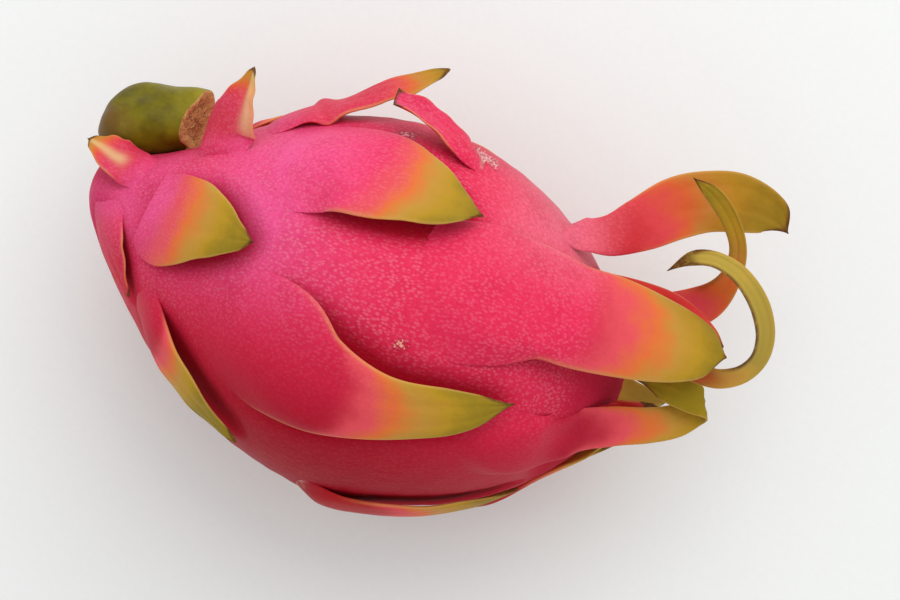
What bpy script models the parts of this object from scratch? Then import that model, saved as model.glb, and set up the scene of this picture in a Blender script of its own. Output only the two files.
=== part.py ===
"""Dragon fruit lying on its side: one swollen fruit, its stem stub and its separate bracts.

Frame: +X runs from the stem end to the crown along the fruit's own axis, +Z is up, the fruit rests
on a small flat spot at z = 0 and the origin is the bottom centre of the bounding box. Every
dimension below is in millimetres and is turned to metres when the meshes are made.
"""
import math

import bmesh
import bpy
from mathutils import Vector

MM = 0.001
# ---- driving dimensions (mm) ----
BODY_RADIUS = 46.2          # radius at the widest ring
WIDEST_X = 8.0              # where the widest ring is
STEM_SIDE = 75.0            # reach of the tapering stem side
CROWN_SIDE = 62.0           # reach of the blunter crown side
STEM_POWER = 0.90           # how slowly the stem side tapers
CROWN_POWER = 0.60          # how blunt the crown side is
STEM_END_X = -68.4          # the stem end of the solid
STEM_KNOB = (-58.0, 11.0)   # centre and radius of the blunt stem knob
STEM_BEND = 6.0             # how far the stem end leans to +Y
CROWN_END_X = 69.2          # the crown rim of the solid
NAVEL_DEPTH = 3.5           # depth of the dimple in the crown end
FLAT_HEIGHT = -44.5         # height of the rest spot below the fruit's axis
SKIN_GAP = 0.65             # clearance between a bract and the skin
SWELL_HEIGHT = 1.7          # how far the skin rises under a broad bract's base
THICK_ROOT = 0.8            # bract thickness where it leaves the skin
THICK_MIDDLE = 2.6          # bract thickness at its middle
THICK_TIP = 0.8             # bract thickness at its tip
RIM_SHARE = 0.32            # share of the thickness left at a bract's margins
RINGS = 40                  # rings of the body along its axis
SEGMENTS = 56               # points round each body ring
FRAME_STEPS = 6             # steps between two rings when a bract's facing is carried along it

# Colour of each sub-part (linear red, green, blue) and its roughness.
SKIN = ((0.60, 0.035, 0.10), 0.45)
STEM_GREEN = ((0.16, 0.22, 0.06), 0.60)
BRACT_PINK = ((0.66, 0.07, 0.10), 0.45)
BRACT_ORANGE = ((0.72, 0.24, 0.06), 0.45)
BRACT_GREEN = ((0.42, 0.42, 0.06), 0.50)


def skin(x, angle, lift, width, cup=0.0):
    """A bract station that hugs the skin: axial place, angle round, lift off the skin."""
    return (1.0, 0.0, x, angle, lift, width, cup, 0.0)


def free(x, y, z, width, cup=0.0, roll=0.0):
    """A bract station out in the air, its roll carried on from the station before."""
    return (0.0, 0.0, x, y, z, width, cup, roll)


def level(x, y, z, width, cup=0.0, roll=0.0):
    """A bract station out in the air, its roll measured from facing straight up."""
    return (0.0, 1.0, x, y, z, width, cup, roll)


# Every bract: its stations from root to tip. Angles: 0 is +Y, 90 is up, 180 is -Y, 270 is down.
BRACTS = {
    "bract_stem_left": (BRACT_PINK, [
        skin(-54.5, 50, 0.2, 5.8), skin(-59.2, 47, 1.2, 6.4), free(-63.8, 13.3, 10.5, 5.4, 0.1),
        free(-68, 14.4, 9.8, 3.8, 0.15), free(-71.8, 15.0, 8.4, 0.9, 0.1)]),
    "bract_stem_upright": (BRACT_PINK, [
        skin(-39, 42, 0.2, 6.4), free(-40.0, 27.6, 19.0, 8.8, -0.2), free(-39.8, 33.6, 20.4, 6.5, 0.0),
        free(-39.2, 38.7, 20.8, 3.6, 0.12), free(-38.9, 43.7, 20.8, 0.9, 0.1)]),
    "bract_shoulder": (BRACT_PINK, [
        skin(-51, 80, 0.2, 11.0), skin(-46, 80.5, 1.0, 13.6), skin(-40.5, 81, 2.4, 12.0),
        skin(-34.5, 82, 4.0, 8.4), skin(-29, 83, 4.9, 4.8), skin(-23.2, 83, 5.4, 0.9)]),
    "bract_stem_under": (BRACT_PINK, [
        skin(-61.5, 92, 0.2, 5.0), skin(-60, 111, 0.6, 6.2), skin(-57, 125, 0.9, 6.2),
        skin(-53.0, 134, 1.1, 4.0), skin(-49.2, 140, 1.2, 1.0)]),
    "bract_top_broad": (BRACT_ORANGE, [
        skin(-26, 50, 0.2, 13.0), skin(-18, 49, 0.8, 17.0), skin(-9, 49, 2.0, 16.6),
        skin(-1, 51, 3.0, 14.2), skin(7, 53, 3.8, 11.0), skin(15.5, 54.5, 4.2, 6.8),
        skin(23.2, 54.5, 4.6, 1.0)]),
    "bract_arching": (BRACT_PINK, [
        skin(-33, 19, 0.2, 7.8), skin(-25.4, 17.5, 1.2, 8.6), level(-18.2, 42.4, 12.2, 7.4, -0.1, -70),
        level(-9.8, 49.2, 12.0, 5.8, -0.1, -62), level(-2.6, 54.6, 10.8, 4.4, 0.0, -52),
        level(3.8, 60.2, 8.5, 1.0, 0.0, -45)]),
    "bract_snapped": (BRACT_PINK, [
        skin(19.6, 25.5, 0.2, 5.0), skin(14.8, 27, 1.2, 5.6), free(9.0, 45.0, 22.0, 5.7, 0.1),
        free(2.6, 47.2, 23.0, 5.2, 0.2), free(-5.2, 47.8, 24.0, 4.2, 0.25)]),
    "bract_flank_narrow": (BRACT_PINK, [
        skin(-46.5, 130, 0.2, 6.0), skin(-43, 134.5, 1.4, 7.4), skin(-38, 138.5, 2.6, 7.2),
        skin(-31, 142.5, 3.0, 6.0), skin(-22, 146.5, 2.8, 4.2), skin(-13, 150, 2.4, 1.0)]),
    "bract_crescent": (BRACT_ORANGE, [
        skin(-29, 113, 0.2, 13.0), skin(-20, 112, 0.8, 17.0), skin(-10, 112.5, 2.0, 17.6),
        skin(2, 114.5, 3.0, 13.2), skin(16, 113.5, 3.4, 8.6), skin(31, 110, 3.4, 6.0),
        skin(44.5, 103, 3.0, 1.0)]),
    "bract_lower_torn": (BRACT_PINK, [
        skin(2, 167, 0.2, 7.6), skin(10, 166.5, 1.0, 7.8), skin(21, 166, 1.4, 7.2),
        skin(32, 166, 1.6, 6.0), skin(43, 166, 1.6, 4.2), skin(53.5, 164, 1.4, 1.0)]),
    "bract_centre_tongue": (BRACT_ORANGE, [
        skin(12, 77, 0.2, 16.0), skin(21, 75, 0.8, 18.6), skin(31, 72, 2.2, 17.6),
        skin(42, 67.5, 3.9, 14.4), free(52.5, 15.6, 34.0, 12.8, -0.22), free(61.5, 16.4, 30.4, 12.2, -0.25),
        free(71, 17.2, 26.6, 10.8, -0.25), free(79, 17.9, 23.2, 8.8, -0.25),
        free(84.6, 18.1, 20.9, 6.2, -0.25), free(88.4, 17.8, 19.2, 2.0, -0.2)]),
    "bract_fold_back": (BRACT_ORANGE, [
        skin(34, 124, 0.2, 8.6), skin(43, 122, 1.2, 11.0), skin(52, 122, 2.2, 9.0),
        level(60.5, -11.2, 20.2, 6.0, -0.1, 22), level(69.5, -6.8, 16.6, 5.0, -0.1, 14),
        level(77.2, -3.8, 13.6, 4.4, 0.0, 8), level(83.2, -0.6, 11.8, 4.0, 0.0, 0),
        free(86.6, 3.2, 11.2, 3.8), free(87.7, 4.7, 11.9, 3.7, 0.0, -19), free(87.9, 5.7, 13.5, 3.7, 0.0, -38),
        free(87.0, 6.2, 15.1, 3.7, 0.0, -57), free(85.1, 6.2, 15.8, 3.7, 0.0, -75), free(80.5, 6.3, 16.2, 3.6, 0.0, -75),
        free(76, 6.2, 16.0, 2.8, 0.0, -75), free(71.6, 5.6, 15.4, 0.9, 0.0, -75)]),
    "bract_sliver": (BRACT_ORANGE, [
        skin(38, 196, 0.2, 7.6), skin(48, 195, 1.6, 7.6), free(57.3, -24.8, -7.0, 5.8),
        free(64.0, -19.0, -7.4, 4.2), free(70, -12.6, -7.0, 2.8), free(75, -6.0, -6.0, 0.9)]),
    "bract_crown_broad": (BRACT_ORANGE, [
        skin(42.0, 25, 0.2, 5.0), level(48.0, 34.0, 15.4, 5.0, 0.0, -36),
        level(53.8, 36.0, 14.4, 5.2, 0.0, -16), level(59.8, 41.2, 12.8, 6.6, 0.0, -8),
        level(66.3, 47.4, 11.2, 7.6, 0.1, -4), level(73, 51.4, 10.2, 7.4, 0.1, 0),
        level(80.5, 53.8, 9.2, 7.0, 0.1, 4), level(88.6, 54.0, 7.8, 4.8, 0.15, 8),
        level(93.8, 51.4, 6.6, 1.2, 0.1, 8)]),
    "bract_twisted": (BRACT_ORANGE, [
        skin(59, 2, 0.2, 5.4), free(67.5, 20.8, -3.0, 6.0), level(75.5, 24.0, -3.8, 6.0, 0.0, -25),
        level(82.4, 29.4, -0.6, 4.6, 0.1, -15), level(84.8, 36.2, 5.6, 2.8, 0.2, -10),
        level(83.6, 42.8, 11.6, 2.1, 0.2, -10), level(79.4, 48.0, 16.8, 2.1, 0.2, -10),
        level(73.3, 52.3, 20.6, 2.1, 0.2, -10), level(66.9, 54.6, 22.6, 0.9, 0.1, -10)]),
    "bract_curl": (BRACT_GREEN, [
        skin(65.6, 350, 0.2, 3.4), free(72, 9.4, -1.6, 3.6), level(78.4, 10.8, 1.2, 3.0, 0.2, -30),
        level(84.4, 12.0, 4.6, 2.6, 0.3, 0), level(90.0, 12.8, 9.0, 2.5, 0.3, 15),
        level(94.2, 15.8, 12.6, 2.5, 0.3, 22), level(96.0, 20.4, 16.8, 2.5, 0.3, 24),
        level(95.0, 25.6, 20.8, 2.6, 0.3, 22), level(91.8, 30.4, 24.6, 2.7, 0.3, 20),
        level(87.4, 34.2, 27.6, 2.6, 0.3, 20), level(82.4, 36.9, 29.4, 2.4, 0.3, 20),
        level(76.8, 37.8, 29.8, 2.1, 0.3, 20), level(72.0, 36.2, 28.4, 1.8, 0.3, 20),
        level(68.2, 32.2, 26.0, 0.8, 0.2, 20)]),
    "bract_behind_tongue": (BRACT_ORANGE, [
        skin(46, 52, 0.2, 4.8), skin(52.5, 50, 1.2, 5.2), free(60.5, 22.4, 16.2, 6.4, -0.1),
        free(70.5, 23.6, 12.6, 6.0, -0.1), free(80.5, 22.8, 9.8, 4.4, -0.1),
        free(88.2, 20.2, 8.6, 0.9)]),
    "bract_small_green": (BRACT_GREEN, [
        skin(54, 21, 0.2, 3.4), skin(57.5, 22, 1.2, 3.4), free(61.6, 24.6, 7.4, 2.5),
        free(65.2, 27.2, 7.0, 0.8)]),
    "bract_small_curled": (BRACT_GREEN, [
        skin(64.5, 112, 0.2, 3.4), free(69.6, -3.2, 11.6, 3.6), free(74.0, -0.8, 11.0, 2.8, 0.2),
        free(78.0, 1.2, 10.2, 0.9, 0.2)]),
    "bract_hidden_flank": (BRACT_PINK, [
        skin(-24, 211, 0.2, 12.0), skin(-15, 211, 1.0, 14.0), skin(-4, 212, 2.2, 12.0),
        skin(8, 213, 3.0, 8.0), skin(19, 214, 3.0, 1.0)]),
    "bract_hidden_back_low": (BRACT_PINK, [
        skin(-30, 319, 0.2, 10.0), skin(-22, 318, 1.0, 12.0), skin(-12, 317, 2.2, 10.8),
        skin(-1, 316, 3.0, 7.4), skin(10, 315, 3.2, 1.0)]),
    "bract_hidden_back_mid": (BRACT_ORANGE, [
        skin(-4, 337, 0.2, 9.0), skin(5, 337, 1.0, 11.0), skin(15, 337, 1.8, 10.0),
        skin(27, 336, 2.2, 7.0), skin(38, 335, 2.2, 1.0)]),
    "bract_hidden_crown_left": (BRACT_ORANGE, [
        skin(24, 226, 0.2, 11.0), skin(33, 227, 1.0, 12.4), skin(43, 228, 2.2, 10.0),
        free(55, -19.6, -22.0, 7.0), free(66, -15.6, -19.0, 4.2), free(75, -11.0, -16.6, 0.9)]),
    "bract_hidden_crown_right": (BRACT_ORANGE, [
        skin(30, 312, 0.2, 9.0), skin(38, 313, 1.0, 10.4), skin(46, 315, 2.2, 9.0),
        free(57, 20.4, -20.6, 6.8), free(68, 20.0, -18.6, 4.4), free(78, 17.6, -16.0, 0.9)]),
    "bract_hidden_crown_under": (BRACT_GREEN, [
        skin(51, 272, 0.2, 7.0), skin(57, 272, 1.6, 7.0), free(66, 1.0, -18.8, 5.6),
        free(75, 1.4, -17.2, 3.8), free(83, 3.4, -14.8, 0.9)]),
    "bract_hidden_stem_left": (BRACT_PINK, [
        skin(-54, 222, 0.2, 8.0), skin(-47, 224, 1.0, 11.0), skin(-38, 226, 2.4, 9.0),
        skin(-28, 228, 3.0, 1.0)]),
    "bract_hidden_stem_right": (BRACT_PINK, [
        skin(-55, 304, 0.2, 7.6), skin(-48, 306, 1.0, 10.6), skin(-40, 308, 2.4, 8.8),
        skin(-31, 309, 3.0, 1.0)]),
    "bract_hidden_stem_back": (BRACT_PINK, [
        skin(-44, 341, 0.2, 6.2), skin(-38, 341, 1.0, 7.8), skin(-31, 341, 2.2, 6.2),
        skin(-23, 342, 2.8, 1.0)]),
}

# The stem stub: (axial place, centre y, centre z, half size in y, half size in z, lean of the ring).
STUB_SECTIONS = [
    (-72.2, 21.2, -2.0, 1.6, 2.0, 0.0), (-71.4, 21.4, -2.0, 4.8, 5.4, 0.0),
    (-69.2, 22.0, -2.0, 7.6, 8.0, 0.0), (-65.0, 23.0, -2.0, 9.2, 9.4, 0.0),
    (-60.0, 24.4, -2.0, 9.4, 9.6, 0.08), (-55.6, 26.0, -2.0, 8.8, 9.2, 0.16),
    (-52.4, 27.2, -2.0, 8.2, 8.6, 0.24), (-49.8, 28.0, -2.0, 7.6, 8.2, 0.32)]


def clear_scene():
    """Take every object out of the scene."""
    for obj in list(bpy.data.objects):
        bpy.data.objects.remove(obj, do_unlink=True)


def profile(x):
    """Radius of the plain body of revolution at an axial place."""
    reach = STEM_SIDE if x < WIDEST_X else CROWN_SIDE
    power = STEM_POWER if x < WIDEST_X else CROWN_POWER
    share = (x - WIDEST_X) / reach
    plain = BODY_RADIUS * max(1.0 - share * share, 0.0) ** power
    place, radius = STEM_KNOB
    knob = math.sqrt(max(radius * radius - (x - place) ** 2, 0.0))
    return (plain ** 3 + knob ** 3) ** (1 / 3)


def swells():
    """Where the skin rises under each bract that hugs it: place, angle, height and spread."""
    found = []
    for _, stations in BRACTS.values():
        hug, _, x, angle, _, width = stations[1][:6]
        if hug > 0.5 and x < 54:
            found.append((x, math.radians(angle), SWELL_HEIGHT * min(width / 14, 1.2), width * 0.75))
    return found


SWELLS = swells()


def skin_radius(x, angle):
    """Radius of the skin at an axial place and an angle (radians), bract swells included."""
    base = profile(x)
    if base <= 0.0:
        return 0.0
    rise = 0.0
    for place, centre, height, spread in SWELLS:
        along = (x - place) / 9.0
        if abs(along) > 3.0:
            continue
        turn = math.remainder(angle - centre, 2 * math.pi)
        across = turn * base / spread
        rise += height * math.exp(-along * along - across * across)
    ripple = 0.4 * math.sin(3 * angle + 0.05 * x) + 0.25 * math.sin(5 * angle - 0.07 * x + 1.0)
    return base + (rise + ripple) * min(base / 20.0, 1.0)


def lean(x):
    """How far the fruit's middle line has moved to +Y at an axial place."""
    share = min(max((-42.0 - x) / 26.4, 0.0), 1.0)
    return STEM_BEND * share * share


def polar(x, angle, radius):
    """Point at an axial place, an angle (radians) and a radius round the middle line."""
    return Vector((x, lean(x) + radius * math.cos(angle), radius * math.sin(angle)))


def angle_of(point):
    """Angle of a point round the fruit's middle line."""
    return math.atan2(point.z, point.y - lean(point.x))


def radius_of(point):
    """Distance of a point from the fruit's middle line."""
    return math.hypot(point.y - lean(point.x), point.z)


def skin_normal(point):
    """Outward normal of the skin nearest a point, from the slopes of the radius."""
    angle = angle_of(point)
    x = min(max(point.x, STEM_END_X + 1.0), CROWN_END_X - 1.0)
    step = 0.4
    radius = max(skin_radius(x, angle), 1.0)
    along = (skin_radius(x + step, angle) - skin_radius(x - step, angle)) / (2 * step)
    turn = (skin_radius(x, angle + 0.02) - skin_radius(x, angle - 0.02)) / 0.04
    outward = Vector((0, math.cos(angle), math.sin(angle)))
    tangent = Vector((0, -math.sin(angle), math.cos(angle)))
    return (outward - Vector((along, 0, 0)) - tangent * (turn / radius)).normalized()


def pushed_out(point, gap):
    """The point moved straight away from the axis until it clears the skin by the gap."""
    if not STEM_END_X - 1.0 < point.x < CROWN_END_X + 0.5:
        return point
    angle = angle_of(point)
    wanted = skin_radius(point.x, angle) + gap
    return point if radius_of(point) >= wanted else polar(point.x, angle, wanted)


def blend_rows(rows, place):
    """Catmull-Rom blend of the station rows at a fractional place."""
    index = min(int(place), len(rows) - 2)
    t = place - index
    picks = [rows[min(max(index + k, 0), len(rows) - 1)] for k in (-1, 0, 1, 2)]
    weights = (
        -0.5 * t + t * t - 0.5 * t ** 3, 1 - 2.5 * t * t + 1.5 * t ** 3,
        0.5 * t + 2 * t * t - 1.5 * t ** 3, -0.5 * t * t + 0.5 * t ** 3)
    return [sum(w * row[k] for w, row in zip(weights, picks)) for k in range(len(rows[0]))]


def station_rows(stations):
    """Stations turned to rows: x, y, z, hug, lift, half width, cup, roll and level."""
    rows = []
    for hug, flat, first, second, third, width, cup, roll in stations:
        if hug > 0.5:
            angle = math.radians(second)
            spot = polar(first, angle, skin_radius(first, angle) + SKIN_GAP + third)
            lift = third
        else:
            spot = Vector((first, second, third))
            lift = radius_of(spot) - skin_radius(first, angle_of(spot)) - SKIN_GAP
        rows.append((spot.x, spot.y, spot.z, hug, lift, width, cup, roll, flat))
    return rows


def thickness_at(share):
    """Thickness of a bract's middle line at a share of its length."""
    if share < 0.3:
        s = share / 0.3
        return THICK_ROOT + (THICK_MIDDLE - THICK_ROOT) * s * s * (3 - 2 * s)
    s = (share - 0.3) / 0.7
    return THICK_MIDDLE + (THICK_TIP - THICK_MIDDLE) * s ** 1.5


def bract_rings(stations):
    """Closed rings of points along a bract, root first."""
    rows = station_rows(stations)
    widest = max(row[5] for row in rows)
    across = (-1.0, -0.5, 0.0, 0.5, 1.0) if widest > 9.0 else (-1.0, -0.4, 0.4, 1.0)
    count = 2 * (len(rows) - 1) if len(rows) < 9 else round(1.4 * (len(rows) - 1))
    total = count * FRAME_STEPS
    places = [k * (len(rows) - 1) / total for k in range(total + 1)]
    samples = [blend_rows(rows, place) for place in places]
    centres = []
    for sample in samples:
        centre = Vector(sample[:3])
        hug = min(max(sample[3], 0.0), 1.0)
        if hug > 0.0:
            angle = angle_of(centre)
            snapped = polar(centre.x, angle, skin_radius(centre.x, angle) + SKIN_GAP + sample[4])
            centre = centre.lerp(snapped, hug)
        centres.append(centre)
    rings = []
    normal = skin_normal(centres[0])
    for index, sample in enumerate(samples):
        centre = centres[index]
        ahead = centres[min(index + 1, len(centres) - 1)] - centres[max(index - 1, 0)]
        tangent = ahead.normalized()
        hug = min(max(sample[3], 0.0), 1.0)
        if hug > 0.0:
            normal = normal.lerp(skin_normal(centre), hug)
        upright = min(max(sample[8], 0.0), 1.0)
        normal = normal.lerp(Vector((0, 0, 1)), upright)
        normal = (normal - tangent * normal.dot(tangent)).normalized()
        roll = math.radians(sample[7])
        up = normal * math.cos(roll) + tangent.cross(normal) * math.sin(roll)
        if index % FRAME_STEPS:
            continue
        side = tangent.cross(up)
        width = max(sample[5], 0.5)
        thick = thickness_at(index / total) * min(1.0, 0.45 + widest / 18)
        outer, inner = [], []
        for u in across:
            rise = sample[6] * width * u * u
            spot = centre + side * (width * u) + up * rise
            if hug > 0.0:
                angle = angle_of(spot)
                reach = skin_radius(spot.x, angle) + SKIN_GAP + sample[4] + rise
                spot = spot.lerp(polar(spot.x, angle, reach), hug)
            spot = pushed_out(spot, SKIN_GAP)
            facing = (up - side * (2 * sample[6] * u)).normalized()
            if hug > 0.0:
                facing = facing.lerp(skin_normal(spot), hug).normalized()
            share = RIM_SHARE + (1 - RIM_SHARE) * (1 - u * u)
            inner.append(spot)
            outer.append(spot + facing * max(thick * share, 0.5))
        rings.append(outer + inner[::-1])
    return rings


def mesh_from_rings(name, rings, finish):
    """One closed solid from equal closed rings, flat caps at both ends."""
    size = len(rings[0])
    points = [point * MM for ring in rings for point in ring]
    faces = []
    for row in range(len(rings) - 1):
        for k in range(size):
            a = row * size + k
            b = row * size + (k + 1) % size
            faces.append((a, b, b + size, a + size))
    half = size // 2
    last = (len(rings) - 1) * size
    for k in range(half - 1):
        faces.append((k + 1, k, size - 1 - k, size - 2 - k))
        faces.append((last + k, last + k + 1, last + size - 2 - k, last + size - 1 - k))
    return mesh_object(name, points, faces, finish)


def mesh_object(name, points, faces, finish):
    """A named object with its own mesh and material, closed and facing out."""
    mesh = bpy.data.meshes.new(name)
    mesh.from_pydata(points, [], faces)
    work = bmesh.new()
    work.from_mesh(mesh)
    bmesh.ops.recalc_face_normals(work, faces=work.faces)
    work.to_mesh(mesh)
    work.free()
    obj = bpy.data.objects.new(name, mesh)
    bpy.context.scene.collection.objects.link(obj)
    material = bpy.data.materials.new(name + "_surface")
    material.use_nodes = True
    shader = material.node_tree.nodes["Principled BSDF"]
    shader.inputs["Base Color"].default_value = (*finish[0], 1.0)
    shader.inputs["Roughness"].default_value = finish[1]
    mesh.materials.append(material)
    return obj


def body_places():
    """Axial places of the body's rings, closer together at both ends."""
    middle = (STEM_END_X + CROWN_END_X) / 2
    half = (CROWN_END_X - STEM_END_X) / 2
    return [middle - half * math.cos(math.pi * (k + 0.6) / (RINGS + 0.2)) for k in range(RINGS)]


def build_body():
    """The fruit: skin rings, a stem pole, a dimpled crown and the rest spot cut flat."""
    points = [polar(STEM_END_X, 0.0, 0.0) * MM]
    angles = [2 * math.pi * k / SEGMENTS for k in range(SEGMENTS)]
    places = body_places()
    for x in places:
        points += [polar(x, angle, skin_radius(x, angle)) * MM for angle in angles]
    rim = skin_radius(places[-1], 0.0)
    for share, drop in ((0.62, 0.2), (0.32, 0.75)):
        x = places[-1] - NAVEL_DEPTH * drop
        points += [polar(x, angle, rim * share) * MM for angle in angles]
    points.append(Vector((places[-1] - NAVEL_DEPTH, 0, 0)) * MM)
    rows = len(places) + 2
    faces = []
    for k in range(SEGMENTS):
        after = (k + 1) % SEGMENTS
        faces.append((0, 1 + after, 1 + k))
        for row in range(rows - 1):
            a = 1 + row * SEGMENTS
            faces.append((a + k, a + after, a + SEGMENTS + after, a + SEGMENTS + k))
        last = 1 + (rows - 1) * SEGMENTS
        faces.append((last + k, last + after, len(points) - 1))
    body = mesh_object("fruit_body", points, faces, SKIN)
    work = bmesh.new()
    work.from_mesh(body.data)
    geometry = work.verts[:] + work.edges[:] + work.faces[:]
    level = Vector((0, 0, FLAT_HEIGHT * MM))
    cut = bmesh.ops.bisect_plane(
        work, geom=geometry, dist=1e-6, plane_co=level, plane_no=(0, 0, -1), clear_outer=True)
    edges = [item for item in cut["geom_cut"] if isinstance(item, bmesh.types.BMEdge)]
    bmesh.ops.contextual_create(work, geom=edges)
    bmesh.ops.remove_doubles(work, verts=work.verts[:], dist=0.00005)
    bmesh.ops.recalc_face_normals(work, faces=work.faces)
    work.to_mesh(body.data)
    work.free()
    return body


def build_stub():
    """The chunk of cactus stem: rounded at one end, cut flat at the other, seated on the skin."""
    count = 20
    rings = []
    for x, y, z, half_y, half_z, tilt in STUB_SECTIONS:
        ring = []
        for k in range(count):
            angle = 2 * math.pi * k / count
            c, s = math.cos(angle), math.sin(angle)
            corner = 1.0 + 0.08 * math.cos(3 * angle + 0.6)
            rise = half_z * corner * s
            spot = Vector((x - tilt * rise, y + half_y * corner * c, z + rise))
            ring.append(pushed_out(spot, SKIN_GAP))
        rings.append(ring)
    return mesh_from_rings("stem_stub", rings, STEM_GREEN)


def settle_frame(objects):
    """Move every mesh so the origin is the bottom centre of the whole box."""
    spots = [vertex.co for obj in objects for vertex in obj.data.vertices]
    low = [min(spot[k] for spot in spots) for k in range(3)]
    high = [max(spot[k] for spot in spots) for k in range(3)]
    shift = Vector((-(low[0] + high[0]) / 2, -(low[1] + high[1]) / 2, -low[2]))
    for obj in objects:
        for vertex in obj.data.vertices:
            vertex.co += shift
        obj.data.update()


def main():
    """Build every sub-part and place the frame."""
    clear_scene()
    objects = [build_body(), build_stub()]
    for name, (finish, stations) in BRACTS.items():
        objects.append(mesh_from_rings(name, bract_rings(stations), finish))
    settle_frame(objects)


main()
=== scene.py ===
"""Looks of the dragon fruit: its skin, bracts and stem stub, with a pale floor and soft studio light.

The fruit lies on its side along X. Every piece is made in millimetres round the fruit's own middle
point and moved into the row frame when its mesh is made, so each object stays at the origin.
"""
from __future__ import annotations

import logging
import math
from dataclasses import dataclass, field
from enum import Enum

import bmesh
import bpy
import numpy as np
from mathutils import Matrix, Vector

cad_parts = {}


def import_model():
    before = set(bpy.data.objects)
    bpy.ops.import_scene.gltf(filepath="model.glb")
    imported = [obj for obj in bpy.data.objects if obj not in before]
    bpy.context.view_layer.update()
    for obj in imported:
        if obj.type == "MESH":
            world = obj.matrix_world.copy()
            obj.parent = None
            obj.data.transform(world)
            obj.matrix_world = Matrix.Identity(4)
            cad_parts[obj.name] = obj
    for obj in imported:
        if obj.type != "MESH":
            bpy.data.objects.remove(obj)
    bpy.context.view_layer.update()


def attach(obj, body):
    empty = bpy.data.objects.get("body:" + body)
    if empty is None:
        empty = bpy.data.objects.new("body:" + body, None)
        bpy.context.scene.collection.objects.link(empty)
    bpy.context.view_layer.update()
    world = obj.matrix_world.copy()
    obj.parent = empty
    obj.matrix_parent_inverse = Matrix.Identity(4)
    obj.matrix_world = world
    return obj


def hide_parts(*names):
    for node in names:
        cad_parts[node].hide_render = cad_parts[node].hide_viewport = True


LOG = logging.getLogger("dragon_fruit")
MM = 0.001
MIDDLE = np.array([-13.101, -5.640, 44.5])  # the fruit's own middle point in the row frame, in mm
SKIN_GAP = 0.25  # mm that a free bract keeps from the skin
Array = np.ndarray


def smooth(value: Array | float, low: float = 0.0, high: float = 1.0) -> Array:
    """Smooth step of a value between two limits.

    Args:
        value: the value or values.
        low: where the step starts.
        high: where the step ends; it may be below low.

    Returns:
        Shares from zero to one.
    """
    share = np.clip((np.asarray(value, dtype=float) - low) / (high - low), 0.0, 1.0)
    return share * share * (3.0 - 2.0 * share)


def unit(vectors: Array) -> Array:
    """Rows turned to length one."""
    return vectors / np.maximum(np.linalg.norm(vectors, axis=-1, keepdims=True), 1e-9)


def blended(rows: Array, count: int) -> Array:
    """Rows of numbers blended smoothly through the given ones (a Catmull-Rom curve).

    Args:
        rows: the rows to pass through.
        count: how many rows to make.

    Returns:
        Rows at equal steps from the first to the last.
    """
    places = np.linspace(0, len(rows) - 1, count)
    index = np.minimum(places.astype(int), len(rows) - 2)
    t = (places - index)[:, None]
    before, here, after, last = (rows[np.clip(index + k, 0, len(rows) - 1)] for k in (-1, 0, 1, 2))
    return 0.5 * (2 * here + (after - before) * t + (2 * before - 5 * here + 4 * after - last) * t ** 2
                  + (3 * here - before - 3 * after + last) * t ** 3)


def tube_faces(rings: int, around: int) -> list[tuple[int, ...]]:
    """Faces of a closed tube of rings whose two end points come after its rings.

    Args:
        rings: how many rings.
        around: how many points each ring has.

    Returns:
        Four-sided faces between rings and three-sided ones at both ends.
    """
    faces: list[tuple[int, ...]] = []
    for row in range(rings - 1):
        for k in range(around):
            a, b = row * around + k, row * around + (k + 1) % around
            faces.append((a, b, b + around, a + around))
    start, end, last = rings * around, rings * around + 1, (rings - 1) * around
    for k in range(around):
        after = (k + 1) % around
        faces.append((start, after, k))
        faces.append((end, last + k, last + after))
    return faces


def linear(hex_colour: str) -> tuple[float, float, float, float]:
    """Turn an sRGB hex colour to linear.

    Args:
        hex_colour: six hex digits, with or without a leading hash.

    Returns:
        Linear red, green, blue and an alpha of one.
    """
    digits = hex_colour.lstrip("#")
    parts = [int(digits[k:k + 2], 16) / 255.0 for k in (0, 2, 4)]
    bent = [p / 12.92 if p <= 0.04045 else ((p + 0.055) / 1.055) ** 2.4 for p in parts]
    return (bent[0], bent[1], bent[2], 1.0)


class Slot(Enum):
    """The record's material slots."""

    SKIN = "skin"
    STEM = "stem_green"
    PINK = "bract_pink"
    ORANGE = "bract_orange"
    GREEN = "bract_green"


class Root(Enum):
    """How a bract's root looks."""

    GROWN = "grown"
    TORN = "torn"


class Tip(Enum):
    """How a bract ends."""

    POINTED = "pointed"
    SNAPPED = "snapped"


@dataclass(frozen=True)
class Station:
    """One place along a bract.

    Hugging stations hold the axial place, the angle round the fruit in degrees (0 is +Y, 90 is up)
    and the lift off the skin. The others hold a place in mm from the fruit's middle point.
    """

    hug: float
    level: float
    first: float
    second: float
    third: float
    width: float
    cup: float = 0.0
    roll: float = 0.0


def skin(x: float, angle: float, lift: float, width: float, cup: float = 0.0) -> Station:
    """A station that hugs the skin."""
    return Station(1.0, 0.0, x, angle, lift, width, cup, 0.0)


def free(x: float, y: float, z: float, width: float, cup: float = 0.0, roll: float = 0.0) -> Station:
    """A station in the air, its roll carried on from the station before."""
    return Station(0.0, 0.0, x, y, z, width, cup, roll)


def level(x: float, y: float, z: float, width: float, cup: float = 0.0, roll: float = 0.0) -> Station:
    """A station in the air, its roll measured from facing straight up."""
    return Station(0.0, 1.0, x, y, z, width, cup, roll)


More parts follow.
